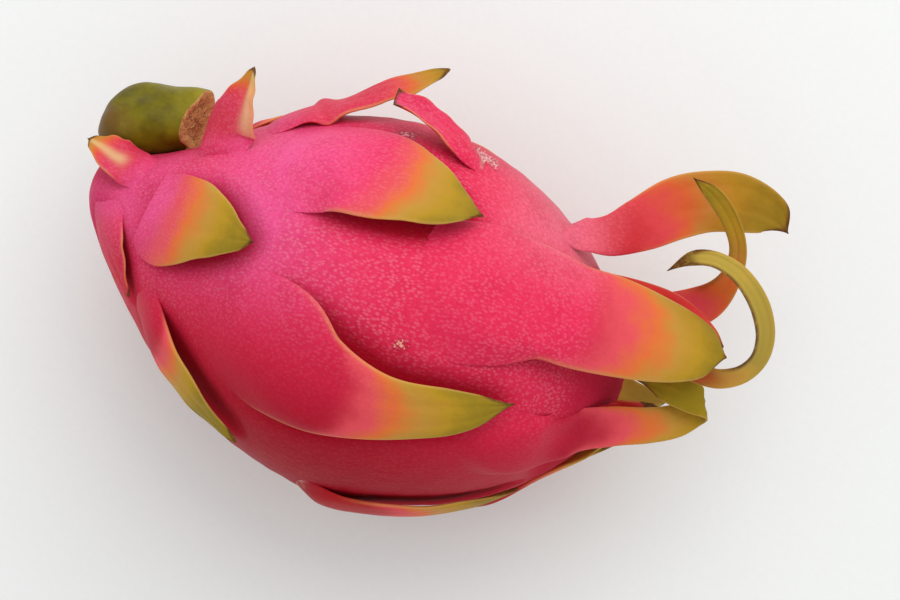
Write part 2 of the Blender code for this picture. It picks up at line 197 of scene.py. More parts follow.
@dataclass(frozen=True)
class BractPlan:
    """What one bract is.

    Its colour turns from pink to green over the shares in turn, and dies back past the share in dry.
    Merge says how late each margin leaves the skin. Wave, thick, red, rib and rim_dry scale its waves,
    thickness, flush, pale rib and crusted margin; rib_place is where across it the rib runs.
    """

    name: str
    slot: Slot
    stations: tuple[Station, ...]
    turn: tuple[float, float] = (0.45, 1.0)
    dry: float = 0.97
    wave: float = 0.35
    rim_dry: float = 0.0
    rib: float = 0.0
    rib_place: float = 0.0
    merge: tuple[float, float] = (0.15, 0.15)
    thick: float = 1.0
    red: float = 0.0
    root: Root = Root.GROWN
    tip: Tip = Tip.POINTED


PLANS: tuple[BractPlan, ...] = (
    BractPlan("bract_stem_left", Slot.PINK, (
        skin(-54.5, 50, 0.2, 5.8), skin(-59.2, 47, 1.2, 6.4), free(-63.8, 13.3, 10.5, 5.4, 0.1),
        free(-68, 14.4, 9.8, 3.8, 0.15), free(-71.8, 15.0, 8.4, 0.9, 0.1)),
        turn=(0.5, 1.15), dry=0.93, red=0.5, rib=0.7, rib_place=-0.1),
    BractPlan("bract_stem_upright", Slot.PINK, (
        skin(-39, 42, 0.2, 6.4), free(-40.0, 27.6, 19.0, 8.8, -0.2), free(-39.8, 33.6, 20.4, 6.5, 0.0),
        free(-39.2, 38.7, 20.8, 3.6, 0.12), free(-38.9, 43.7, 20.8, 0.9, 0.1)),
        turn=(0.5, 1.15), dry=0.95, red=0.6, rib=0.6, rib_place=0.75),
    BractPlan("bract_shoulder", Slot.PINK, (
        skin(-51, 80, 0.2, 11.0), skin(-46, 80.5, 1.0, 13.6), skin(-40.5, 81, 2.4, 12.0),
        skin(-34.5, 82, 4.0, 8.4), skin(-29, 83, 4.9, 4.8), skin(-23.2, 83, 5.4, 0.9)),
        turn=(0.08, 0.95), merge=(0.15, 0.0)),
    BractPlan("bract_stem_under", Slot.PINK, (
        skin(-61.5, 92, 0.2, 5.0), skin(-60, 111, 0.6, 6.2), skin(-57, 125, 0.9, 6.2),
        skin(-53.0, 134, 1.1, 4.0), skin(-49.2, 140, 1.2, 1.0)), turn=(0.8, 1.8), red=0.4),
    BractPlan("bract_top_broad", Slot.ORANGE, (
        skin(-26, 50, 0.2, 13.0), skin(-18, 49, 0.8, 17.0), skin(-9, 49, 2.0, 16.6),
        skin(-1, 51, 3.0, 14.2), skin(7, 53, 3.8, 11.0), skin(15.5, 54.5, 4.2, 6.8),
        skin(23.2, 54.5, 4.6, 1.0)), turn=(0.40, 0.98), merge=(0.2, 0.05)),
    BractPlan("bract_arching", Slot.PINK, (
        skin(-33, 19, 0.2, 7.8), skin(-25.4, 17.5, 1.2, 8.6), level(-18.2, 42.4, 12.2, 7.4, -0.1, -70),
        level(-9.8, 49.2, 12.0, 5.8, -0.1, -62), level(-2.6, 54.6, 10.8, 4.4, 0.0, -52),
        level(3.8, 60.2, 8.5, 1.0, 0.0, -45)),
        turn=(0.55, 1.05), dry=0.96, red=0.5),
    BractPlan("bract_snapped", Slot.PINK, (
        skin(19.6, 25.5, 0.2, 5.0), skin(14.8, 27, 1.2, 5.6), free(9.0, 45.0, 22.0, 5.7, 0.1),
        free(2.6, 47.2, 23.0, 5.2, 0.2), free(-5.2, 47.8, 24.0, 4.2, 0.25)),
        turn=(1.4, 2.4), dry=0.975, root=Root.TORN, tip=Tip.SNAPPED),
    BractPlan("bract_flank_narrow", Slot.PINK, (
        skin(-46.5, 130, 0.2, 6.0), skin(-43, 134.5, 1.4, 7.4), skin(-38, 138.5, 2.6, 7.2),
        skin(-31, 142.5, 3.0, 6.0), skin(-22, 146.5, 2.8, 4.2), skin(-13, 150, 2.4, 1.0)),
        turn=(0.35, 0.85)),
    BractPlan("bract_crescent", Slot.ORANGE, (
        skin(-29, 113, 0.2, 13.0), skin(-20, 112, 0.8, 17.0), skin(-10, 112.5, 2.0, 17.6),
        skin(2, 114.5, 3.0, 13.2), skin(16, 113.5, 3.4, 8.6), skin(31, 110, 3.4, 6.0),
        skin(44.5, 103, 3.0, 1.0)), turn=(0.52, 0.97), merge=(0.02, 0.3)),
    BractPlan("bract_lower_torn", Slot.PINK, (
        skin(2, 167, 0.2, 7.6), skin(10, 166.5, 1.0, 7.8), skin(21, 166, 1.4, 7.2),
        skin(32, 166, 1.6, 6.0), skin(43, 166, 1.6, 4.2), skin(53.5, 164, 1.4, 1.0)),
        turn=(0.4, 0.95), red=0.35, root=Root.TORN),
    BractPlan("bract_centre_tongue", Slot.ORANGE, (
        skin(12, 77, 0.2, 16.0), skin(21, 75, 0.8, 18.6), skin(31, 72, 2.2, 17.6),
        skin(42, 67.5, 3.9, 14.4), free(52.5, 15.6, 34.0, 12.8, -0.22), free(61.5, 16.4, 30.4, 12.2, -0.25),
        free(71, 17.2, 26.6, 10.8, -0.25), free(79, 17.9, 23.2, 8.8, -0.25),
        free(84.6, 18.1, 20.9, 6.2, -0.25), free(88.4, 17.8, 19.2, 2.0, -0.2)),
        turn=(0.40, 1.0), wave=0.15, merge=(0.08, 0.3)),
    BractPlan("bract_fold_back", Slot.ORANGE, (
        skin(34, 124, 0.2, 8.6), skin(43, 122, 1.2, 11.0), skin(52, 122, 2.2, 9.0),
        level(60.5, -11.2, 20.2, 6.0, -0.1, 22), level(69.5, -6.8, 16.6, 5.0, -0.1, 14),
        level(77.2, -3.8, 13.6, 4.4, 0.0, 8), level(83.2, -0.6, 11.8, 4.0, 0.0, 0),
        free(86.6, 3.2, 11.2, 3.8), free(87.7, 4.7, 11.9, 3.7, 0.0, -19),
        free(87.9, 5.7, 13.5, 3.7, 0.0, -38), free(87.0, 6.2, 15.1, 3.7, 0.0, -57),
        free(85.1, 6.2, 15.8, 3.7, 0.0, -75), free(80.5, 6.3, 16.2, 3.6, 0.0, -75),
        free(76, 6.2, 16.0, 2.8, 0.0, -75), free(71.6, 5.6, 15.4, 0.9, 0.0, -75)),
        turn=(0.2, 0.6), wave=0.1, thick=0.6, merge=(0.3, 0.1)),
    BractPlan("bract_sliver", Slot.ORANGE, (
        skin(38, 196, 0.2, 7.6), skin(48, 195, 1.6, 7.6), free(57.3, -24.8, -7.0, 5.8),
        free(64.0, -19.0, -7.4, 4.2), free(70, -12.6, -7.0, 2.8), free(75, -6.0, -6.0, 0.9)),
        turn=(0.35, 0.9), red=0.3),
    BractPlan("bract_crown_broad", Slot.ORANGE, (
        skin(42.0, 25, 0.2, 5.0), level(48.0, 34.0, 15.4, 5.0, 0.0, -36),
        level(53.8, 36.0, 14.4, 5.2, 0.0, -16), level(59.8, 41.2, 12.8, 6.6, 0.0, -8),
        level(66.3, 47.4, 11.2, 7.6, 0.1, -4), level(73, 51.4, 10.2, 7.4, 0.1, 0),
        level(80.5, 53.8, 9.2, 7.0, 0.1, 4), level(88.6, 54.0, 7.8, 4.8, 0.15, 8),
        level(93.8, 51.4, 6.6, 1.2, 0.1, 8)), turn=(0.26, 0.9), dry=0.95, red=0.6, thick=0.8),
    BractPlan("bract_twisted", Slot.ORANGE, (
        skin(59, 2, 0.2, 5.4), free(67.5, 20.8, -3.0, 6.0), level(75.5, 24.0, -3.8, 6.0, 0.0, -25),
        level(82.4, 29.4, -0.6, 4.6, 0.1, -15), level(84.8, 36.2, 5.6, 2.8, 0.2, -10),
        level(83.6, 42.8, 11.6, 2.1, 0.2, -10), level(79.4, 48.0, 16.8, 2.1, 0.2, -10),
        level(73.3, 52.3, 20.6, 2.1, 0.2, -10), level(66.9, 54.6, 22.6, 0.9, 0.1, -10)),
        turn=(0.08, 1.0), wave=0.1, rim_dry=0.4, red=0.1, thick=0.6),
    BractPlan("bract_curl", Slot.GREEN, (
        skin(65.6, 350, 0.2, 3.4), free(72, 9.4, -1.6, 3.6), level(78.4, 10.8, 1.2, 3.0, 0.2, -30),
        level(84.4, 12.0, 4.6, 2.6, 0.3, 0), level(90.0, 12.8, 9.0, 2.5, 0.3, 15),
        level(94.2, 15.8, 12.6, 2.5, 0.3, 22), level(96.0, 20.4, 16.8, 2.5, 0.3, 24),
        level(95.0, 25.6, 20.8, 2.6, 0.3, 22), level(91.8, 30.4, 24.6, 2.7, 0.3, 20),
        level(87.4, 34.2, 27.6, 2.6, 0.3, 20), level(82.4, 36.9, 29.4, 2.4, 0.3, 20),
        level(76.8, 37.8, 29.8, 2.1, 0.3, 20), level(72.0, 36.2, 28.4, 1.8, 0.3, 20),
        level(68.2, 32.2, 26.0, 0.8, 0.2, 20)),
        turn=(0.1, 0.5), dry=0.91, wave=0.12, rim_dry=0.9, red=0.6, thick=0.6),
    BractPlan("bract_behind_tongue", Slot.ORANGE, (
        skin(46, 52, 0.2, 4.8), skin(52.5, 50, 1.2, 5.2), free(60.5, 22.4, 16.2, 6.4, -0.1),
        free(70.5, 23.6, 12.6, 6.0, -0.1), free(80.5, 22.8, 9.8, 4.4, -0.1),
        free(88.2, 20.2, 8.6, 0.9)), turn=(0.55, 1.5), red=0.9),
    BractPlan("bract_small_green", Slot.GREEN, (
        skin(54, 21, 0.2, 3.4), skin(57.5, 22, 1.2, 3.4), free(61.6, 24.6, 7.4, 2.5),
        free(65.2, 27.2, 7.0, 0.8)), turn=(0.1, 0.6), wave=0.1),
    BractPlan("bract_small_curled", Slot.GREEN, (
        skin(64.5, 112, 0.2, 3.4), free(69.6, -3.2, 11.6, 3.6), free(74.0, -0.8, 11.0, 2.8, 0.2),
        free(78.0, 1.2, 10.2, 0.9, 0.2)), turn=(0.5, 1.3), dry=0.75, wave=0.1, red=0.8),
    BractPlan("bract_hidden_flank", Slot.PINK, (
        skin(-24, 211, 0.2, 12.0), skin(-15, 211, 1.0, 14.0), skin(-4, 212, 2.2, 12.0),
        skin(8, 213, 3.0, 8.0), skin(19, 214, 3.0, 1.0)), turn=(0.45, 1.0)),
    BractPlan("bract_hidden_back_low", Slot.PINK, (
        skin(-30, 319, 0.2, 10.0), skin(-22, 318, 1.0, 12.0), skin(-12, 317, 2.2, 10.8),
        skin(-1, 316, 3.0, 7.4), skin(10, 315, 3.2, 1.0)), turn=(0.45, 1.0)),
    BractPlan("bract_hidden_back_mid", Slot.ORANGE, (
        skin(-4, 337, 0.2, 9.0), skin(5, 337, 1.0, 11.0), skin(15, 337, 1.8, 10.0),
        skin(27, 336, 2.2, 7.0), skin(38, 335, 2.2, 1.0)), turn=(0.45, 1.0)),
    BractPlan("bract_hidden_crown_left", Slot.ORANGE, (
        skin(24, 226, 0.2, 11.0), skin(33, 227, 1.0, 12.4), skin(43, 228, 2.2, 10.0),
        free(55, -19.6, -22.0, 7.0), free(66, -15.6, -19.0, 4.2), free(75, -11.0, -16.6, 0.9)),
        turn=(0.4, 1.0)),
    BractPlan("bract_hidden_crown_right", Slot.ORANGE, (
        skin(30, 312, 0.2, 9.0), skin(38, 313, 1.0, 10.4), skin(46, 315, 2.2, 9.0),
        free(57, 20.4, -20.6, 6.8), free(68, 20.0, -18.6, 4.4), free(78, 17.6, -16.0, 0.9)),
        turn=(0.4, 1.0)),
    BractPlan("bract_hidden_crown_under", Slot.GREEN, (
        skin(51, 272, 0.2, 7.0), skin(57, 272, 1.6, 7.0), free(66, 1.0, -18.8, 5.6),
        free(75, 1.4, -17.2, 3.8), free(83, 3.4, -14.8, 0.9)), turn=(0.25, 0.85)),
    BractPlan("bract_hidden_stem_left", Slot.PINK, (
        skin(-54, 222, 0.2, 8.0), skin(-47, 224, 1.0, 11.0), skin(-38, 226, 2.4, 9.0),
        skin(-28, 228, 3.0, 1.0)), turn=(0.4, 1.0)),
    BractPlan("bract_hidden_stem_right", Slot.PINK, (
        skin(-55, 304, 0.2, 7.6), skin(-48, 306, 1.0, 10.6), skin(-40, 308, 2.4, 8.8),
        skin(-31, 309, 3.0, 1.0)), turn=(0.4, 1.0)),
    BractPlan("bract_hidden_stem_back", Slot.PINK, (
        skin(-44, 341, 0.2, 6.2), skin(-38, 341, 1.0, 7.8), skin(-31, 341, 2.2, 6.2),
        skin(-23, 342, 2.8, 1.0)), turn=(0.4, 1.0)),
)


@dataclass
class FruitForm:
    """The shape rule of the swollen fruit, in mm round its own middle point."""

    radius: float = 46.2
    widest: float = 8.0
    stem_side: float = 75.0
    crown_side: float = 62.0
    stem_power: float = 0.90
    crown_power: float = 0.60
    knob_place: float = -58.0
    knob_radius: float = 11.0
    bend: float = 6.0
    bend_start: float = -42.0
    bend_length: float = 26.4
    swell_height: float = 1.7
    swell_length: float = 9.0
    flat_height: float = -44.5
    stem_limit: float = -67.4
    crown_limit: float = 68.2
    swells: list[tuple[float, float, float, float]] = field(default_factory=list)

    def gather_swells(self, plans: tuple[BractPlan, ...]) -> None:
        """Note where the skin rises under each bract that hugs it.

        Args:
            plans: every bract's plan.
        """
        for plan in plans:
            second = plan.stations[1]
            if second.hug > 0.5 and second.first < 54:
                height = self.swell_height * min(second.width / 14, 1.2)
                self.swells.append(
                    (second.first, math.radians(second.second), height, second.width * 0.75))

    def profile(self, x: Array) -> Array:
        """Radius of the plain body.

        Args:
            x: axial places.

        Returns:
            A radius for each place, with the knob of the stem end blended in.
        """
        x = np.asarray(x, dtype=float)
        stem = x < self.widest
        reach = np.where(stem, self.stem_side, self.crown_side)
        power = np.where(stem, self.stem_power, self.crown_power)
        share = (x - self.widest) / reach
        plain = self.radius * np.maximum(1.0 - share * share, 0.0) ** power
        knob = np.sqrt(np.maximum(self.knob_radius ** 2 - (x - self.knob_place) ** 2, 0.0))
        return (plain ** 3 + knob ** 3) ** (1 / 3)

    def lean(self, x: Array) -> Array:
        """How far the middle line has moved to +Y at axial places."""
        share = np.clip((self.bend_start - np.asarray(x, dtype=float)) / self.bend_length, 0.0, 1.0)
        return self.bend * share * share

    def radius_at(self, x: Array, angle: Array) -> Array:
        """Radius of the skin.

        Args:
            x: axial places.
            angle: angles in radians, zero at +Y.

        Returns:
            Radii with the rises under the bracts and a slow ripple.
        """
        base = self.profile(x)
        rise = np.zeros(np.broadcast(x, angle).shape)
        for place, centre, height, spread in self.swells:
            along = (x - place) / self.swell_length
            turn = np.remainder(angle - centre + math.pi, 2 * math.pi) - math.pi
            across = turn * base / spread
            rise = rise + height * np.exp(-along * along - across * across)
        ripple = 0.4 * np.sin(3 * angle + 0.05 * x) + 0.25 * np.sin(5 * angle - 0.07 * x + 1.0)
        return base + (rise + ripple) * np.minimum(base / 20.0, 1.0)

    def place(self, x: Array, angle: Array, radius: Array) -> Array:
        """Points round the middle line.

        Args:
            x: axial places.
            angle: angles in radians.
            radius: distances from the middle line.

        Returns:
            Points in mm.
        """
        x, angle, radius = np.broadcast_arrays(x, angle, radius)
        return np.stack(
            [x, self.lean(x) + radius * np.cos(angle), radius * np.sin(angle)], axis=-1).astype(float)

    def angle_of(self, points: Array) -> Array:
        """Angle of points round the middle line."""
        return np.arctan2(points[..., 2], points[..., 1] - self.lean(points[..., 0]))

    def radius_of(self, points: Array) -> Array:
        """Distance of points from the middle line."""
        return np.hypot(points[..., 1] - self.lean(points[..., 0]), points[..., 2])

    def on_skin(self, points: Array, height: Array | float) -> Array:
        """Points moved along their radius to a height above the skin."""
        angle = self.angle_of(points)
        return self.place(points[..., 0], angle, self.radius_at(points[..., 0], angle) + height)

    def normal(self, points: Array) -> Array:
        """Outward normals of the skin nearest to points.

        Args:
            points: points in mm.

        Returns:
            Normals of length one.
        """
        angle = self.angle_of(points)
        x = np.clip(points[..., 0], self.stem_limit, self.crown_limit)
        radius = np.maximum(self.radius_at(x, angle), 1.0)
        along = (self.radius_at(x + 0.4, angle) - self.radius_at(x - 0.4, angle)) / 0.8
        turn = (self.radius_at(x, angle + 0.02) - self.radius_at(x, angle - 0.02)) / 0.04
        zero = np.zeros_like(angle)
        outward = np.stack([zero, np.cos(angle), np.sin(angle)], axis=-1)
        tangent = np.stack([zero, -np.sin(angle), np.cos(angle)], axis=-1)
        lengthwise = np.stack([along, zero, zero], axis=-1)
        return unit(outward - lengthwise - tangent * (turn / radius)[..., None])


def piece_mesh(
    name: str, points: Array, faces: list[tuple[int, ...]], marks: dict[str, Array],
) -> bpy.types.Object:
    """Make one smooth-shaded object in the row frame.

    Args:
        name: the object's name.
        points: its points in mm round the fruit's middle point.
        faces: its faces as point numbers.
        marks: named values for each point that its material reads.

    Returns:
        The new object, at the origin, with its place in its mesh.
    """
    mesh = bpy.data.meshes.new(name)
    mesh.from_pydata(((points + MIDDLE) * MM).tolist(), [], faces)
    for key, values in marks.items():
        mark = mesh.attributes.new(key, "FLOAT", "POINT")
        mark.data.foreach_set("value", np.asarray(values, dtype=np.float32).ravel())
    work = bmesh.new()
    work.from_mesh(mesh)
    bmesh.ops.recalc_face_normals(work, faces=work.faces)
    work.to_mesh(mesh)
    work.free()
    mesh.shade_smooth()
    obj = bpy.data.objects.new(name, mesh)
    bpy.context.scene.collection.objects.link(obj)
    return obj


def hand_over(obj: bpy.types.Object, slot: Slot, *nodes: str) -> None:
    """Hang a finished piece on the frame's root body, hide the frame's nodes that it stands for and log its
    material slot.

    Args:
        obj: the finished piece.
        slot: its material slot.
        nodes: the frame's nodes that it stands for.
    """
    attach(obj, "root")
    if nodes:
        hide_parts(*nodes)
    LOG.info("%s: %d faces, slot %s", obj.name, len(obj.data.polygons), slot.value)


@dataclass
class BractPath:
    """The middle line of a bract, blended smoothly through its stations."""

    plan: BractPlan
    form: FruitForm

    def rows(self) -> Array:
        """Stations as rows of numbers.

        Returns:
            Rows of x, y, z, hug, lift, width, cup, roll and level.
        """
        out = []
        for st in self.plan.stations:
            if st.hug > 0.5:
                angle = math.radians(st.second)
                reach = float(self.form.radius_at(np.array(st.first), np.array(angle))) + st.third
                spot = self.form.place(np.array(st.first), np.array(angle), np.array(reach))
                lift = st.third
            else:
                spot = np.array([st.first, st.second, st.third])
                angle = float(self.form.angle_of(spot))
                skin_radius = self.form.radius_at(np.array(st.first), np.array(angle))
                lift = float(self.form.radius_of(spot) - skin_radius)
            out.append([*spot, st.hug, lift, st.width, st.cup, st.roll, st.level])
        return np.array(out)

    def sampled(self, count: int) -> Array:
        """Rows blended smoothly at equal shares of the stations."""
        return blended(self.rows(), count)


@dataclass
class SkinRelief:
    """Soft valleys in the skin beside and under the bracts that lie on it."""

    form: FruitForm
    plans: tuple[BractPlan, ...]
    samples: int = 40
    valley_depth: float = 0.8
    cover_depth: float = 0.6
    valley_width: float = 2.4

    def __post_init__(self) -> None:
        """Sample every bract's middle line once."""
        self.lines = {plan.name: BractPath(plan, self.form).sampled(self.samples) for plan in self.plans}

    def at(self, x: Array, angle: Array, skip: str = "") -> tuple[Array, Array]:
        """How deep the valleys are, and how much of the skin a bract covers.

        Args:
            x: axial places.
            angle: angles in radians.
            skip: the bract to leave out.

        Returns:
            Valley and cover shares from zero to one.
        """
        valley = np.zeros_like(x)
        cover = np.zeros_like(x)
        base = self.form.profile(x)
        for name, rows in self.lines.items():
            for k, row in enumerate(rows):
                share = k / (len(rows) - 1)
                if row[3] < 0.5 or share < 0.25 or name == skip:
                    continue
                turn = np.remainder(angle - self.form.angle_of(row[:3]) + math.pi, 2 * math.pi) - math.pi
                gap = np.hypot(x - row[0], turn * base)
                strength = float(smooth(share, 0.25, 0.6) * smooth(1.0 - share, 0.0, 0.12))
                width = max(row[5], 1.5)
                dip = np.exp(-((gap - width - 0.4) / self.valley_width) ** 2)
                valley = np.maximum(valley, dip * strength)
                cover = np.maximum(cover, smooth(-gap, -width - 1.0, -width + 1.5) * strength)
        return valley, cover

    def drop(self, x: Array, angle: Array, skip: str = "") -> Array:
        """How far the skin sinks.

        Args:
            x: axial places.
            angle: angles in radians.
            skip: the bract to leave out.

        Returns:
            Depths in mm.
        """
        valley, cover = self.at(x, angle, skip)
        depth = self.valley_depth * valley + self.cover_depth * cover
        return depth * np.minimum(self.form.profile(x) / 20.0, 1.0)


@dataclass
class BractSheet:
    """One bract: a leaf-like sheet that grows out of the skin smoothly and thins to its tip.

    Its seed is a number that varies its small waves.
    """

    plan: BractPlan
    form: FruitForm
    relief: SkinRelief
    seed: int
    long: int = field(default_factory=lambda: 128)
    wide: int = field(default_factory=lambda: 25)
    edge_thickness: float = 0.9
    middle_thickness: float = 2.6
    tip_thinning: float = 1.8

    def __post_init__(self) -> None:
        """Set out the middle line and the phase of the waves."""
        self.path = BractPath(self.plan, self.form)
        self.phase = 1.7 * self.seed

    def frames(self, centres: Array, rows: Array) -> tuple[Array, Array]:
        """Which way the bract faces at each sample of its middle line.

        Args:
            centres: points of the middle line.
            rows: the sampled station rows.

        Returns:
            Facings and sides, of length one.
        """
        tangents = unit(np.gradient(centres, axis=0))
        skins = self.form.normal(centres)
        facing = np.zeros_like(centres)
        current = skins[0]
        for k in range(len(centres)):
            hug = min(max(rows[k, 3], 0.0), 1.0)
            upright = min(max(rows[k, 8], 0.0), 1.0)
            current = current * (1 - hug) + skins[k] * hug
            current = current * (1 - upright) + np.array([0.0, 0.0, 1.0]) * upright
            current = current - tangents[k] * current.dot(tangents[k])
            current = current / max(np.linalg.norm(current), 1e-9)
            roll = math.radians(rows[k, 7])
            facing[k] = current * math.cos(roll) + np.cross(tangents[k], current) * math.sin(roll)
        return facing, np.cross(tangents, facing)

    def middle_sheet(self) -> tuple[Array, Array, Array, Array, Array]:
        """The bract's middle surface.

        Returns:
            Points, facings and thicknesses on a grid of samples by places across, and the shares
            along and across.
        """
        plan, form = self.plan, self.form
        rows = self.path.sampled(self.long)
        s = np.linspace(0, 1, self.long)
        across = np.sin(np.linspace(-0.5, 0.5, self.wide) * math.pi)
        u = across[None, :]
        hug = np.clip(rows[:, 3], 0, 1)
        thick = self.thickness(s, u)
        width = np.maximum(rows[:, 5], 0.4)
        if plan.tip is Tip.POINTED:
            width = width * np.sqrt(np.clip(1 - smooth(s, 0.9, 1.0) * 0.96, 0.02, 1))
        centres = rows[:, :3].copy()
        lift = rows[:, 4]
        centres = centres + (form.on_skin(centres, lift) - centres) * hug[:, None]
        facing, side = self.frames(centres, rows)
        wave = plan.wave * smooth(s, 0.3, 0.8)[:, None] * np.abs(u) ** 3
        ripple = wave * np.sin(7.5 * s[:, None] * math.pi * (1 + 0.15 * np.sign(u)) + self.phase + 1.3 * u)
        rise = rows[:, 6:7] * width[:, None] * u * u + ripple
        edge = width[:, None] * (1 + 0.03 * np.sin(9 * s[:, None] + self.phase + 2 * np.sign(u)))
        points = (centres[:, None, :] + side[:, None, :] * (edge * u)[..., None]
                  + facing[:, None, :] * rise[..., None])
        out = self.grown(s, u)
        sunk = self.relief.drop(points[..., 0], form.angle_of(points), plan.name)
        height = (lift[:, None] + 0.2 + rise) * out - (thick / 2 + SKIN_GAP + sunk) * (1 - out)
        points = points + (form.on_skin(points, height) - points) * hug[:, None, None]
        points = self.cleared(points, out)
        faces_out = unit(facing[:, None, :] - side[:, None, :] * (2 * rows[:, 6:7] * u)[..., None])
        skins = form.normal(points)
        faces_out = unit(faces_out + (skins - faces_out) * hug[:, None, None])
        furrow = 0.10 * np.sin(9 * u + self.phase) + 0.06 * np.sin(17 * u + 2 * self.phase + 2 * s[:, None])
        points = points + faces_out * (furrow * smooth(s, 0.3, 0.6)[:, None] * (1 - u * u))[..., None]
        return points, faces_out, thick, s, across

    def cleared(self, points: Array, out: Array) -> Array:
        """Points of the grown-out part pushed clear of the skin.

        Args:
            points: the middle surface.
            out: how far each point has left the skin.

        Returns:
            The points, none of them inside the skin once they have left it.
        """
        form = self.form
        least = form.radius_at(points[..., 0], form.angle_of(points)) + SKIN_GAP
        near = (points[..., 0] > -67) & (points[..., 0] < 68.6) & (form.radius_of(points) < least)
        moved = form.on_skin(points, SKIN_GAP)
        return points + (moved - points) * (near * smooth(out, 0.9, 1.0))[..., None]

    def thickness(self, s: Array, u: Array) -> Array:
        """Thickness of the sheet, which thins to its tip and its margins.

        Args:
            s: shares along.
            u: shares across, from minus one to one.

        Returns:
            Thicknesses in mm on a grid.
        """
        widest = max(st.width for st in self.plan.stations)
        body = np.where(
            s < 0.3,
            self.edge_thickness + (self.middle_thickness - self.edge_thickness) * smooth(s, 0.0, 0.3),
            self.middle_thickness - self.tip_thinning * np.clip((s - 0.3) / 0.7, 0, 1) ** 1.3)
        return body[:, None] * min(1.0, 0.35 + widest / 18) * self.plan.thick * np.sqrt(1 - np.abs(u) ** 4.0)

    def grown(self, s: Array, u: Array) -> Array:
        """How far the sheet has left the skin, zero at the root and later at the margins.

        Args:
            s: shares along.
            u: shares across.

        Returns:
            Shares from zero to one on a grid.
        """
        plan = self.plan
        last = max(k for k, st in enumerate(plan.stations) if st.hug > 0.5 or k == 0)
        reach = float(np.clip(0.5 * last / (len(plan.stations) - 1), 0.06, 0.42))
        if plan.root is Root.TORN:
            reach = 0.2
        late = np.where(u < 0, plan.merge[0], plan.merge[1])
        low = 0.25 * reach * u * u * np.where(late > 0, 1.0, 0.0)
        return smooth(s[:, None], low, reach + late * np.abs(u) ** 2.5)

    def build(self, finish: bpy.types.Material) -> bpy.types.Object:
        """Make the closed sheet with the values its finish reads.

        Args:
            finish: the bract's finish.

        Returns:
            The bract.
        """
        points, faces_out, thick, s, across = self.middle_sheet()
        rows, wide = points.shape[:2]
        upper = points + faces_out * thick[..., None] / 2
        lower = points - faces_out * thick[..., None] / 2
        ring = np.concatenate([upper, lower[:, wide - 2:0:-1]], axis=1)
        ends = np.stack([ring[0].mean(axis=0), ring[-1].mean(axis=0)])
        if self.plan.tip is Tip.POINTED:
            ends[1] += unit(ring[-1].mean(axis=0) - ring[-3].mean(axis=0)) * 0.5
        everything = np.concatenate([ring.reshape(-1, 3), ends])
        u = np.concatenate([across, across[wide - 2:0:-1]])
        inside = np.concatenate([np.zeros(wide), np.ones(wide - 2)])
        faces = tube_faces(rows, ring.shape[1])
        bract = piece_mesh(self.plan.name + "_leaf", everything, faces, self.marks(s, u, inside))
        bract.data.materials.append(finish)
        return bract

    def marks(self, s: Array, u: Array, inside: Array) -> dict[str, Array]:
        """Values for each point that the finish reads.

        Args:
            s: shares along.
            u: shares across, round the ring.
            inside: one on the inner face, zero on the outer.

        Returns:
            Ripeness, margin, inner face, dryness, rib, redness and torn tissue.
        """
        plan = self.plan
        shape = (len(s), len(u))
        along = s[:, None] + 0.07 * np.abs(u[None, :]) ** 3
        ripe = smooth(along, *plan.turn) ** 0.9
        rim = smooth(np.abs(u), 0.9, 0.99)[None, :] * smooth(s, 0.25, 0.5)[:, None]
        dry = smooth(along, plan.dry - 0.02, plan.dry + 0.03)
        crust = plan.rim_dry * smooth(-u, 0.55, 0.92)[None, :] * smooth(s, 0.3, 0.4)[:, None]
        rib = plan.rib * np.exp(-((u[None, :] - plan.rib_place) / 0.28) ** 2)
        torn = (1 - smooth(s, 0.04, 0.14)) if plan.root is Root.TORN else np.zeros_like(s)
        values = {
            "ripe": ripe, "rim": rim, "inside": np.broadcast_to(inside[None, :], shape),
            "dry": np.maximum(dry, crust), "rib": rib * smooth(s, 0.2, 0.45)[:, None],
            "red": plan.red * (1 - 0.9 * ripe) * smooth(s, 0.05, 0.3)[:, None],
            "torn": np.broadcast_to(torn[:, None], shape)}
        ends = {key: [grid[0].mean(), grid[-1].mean()] for key, grid in values.items()}
        return {key: np.concatenate([grid.ravel(), ends[key]]) for key, grid in values.items()}


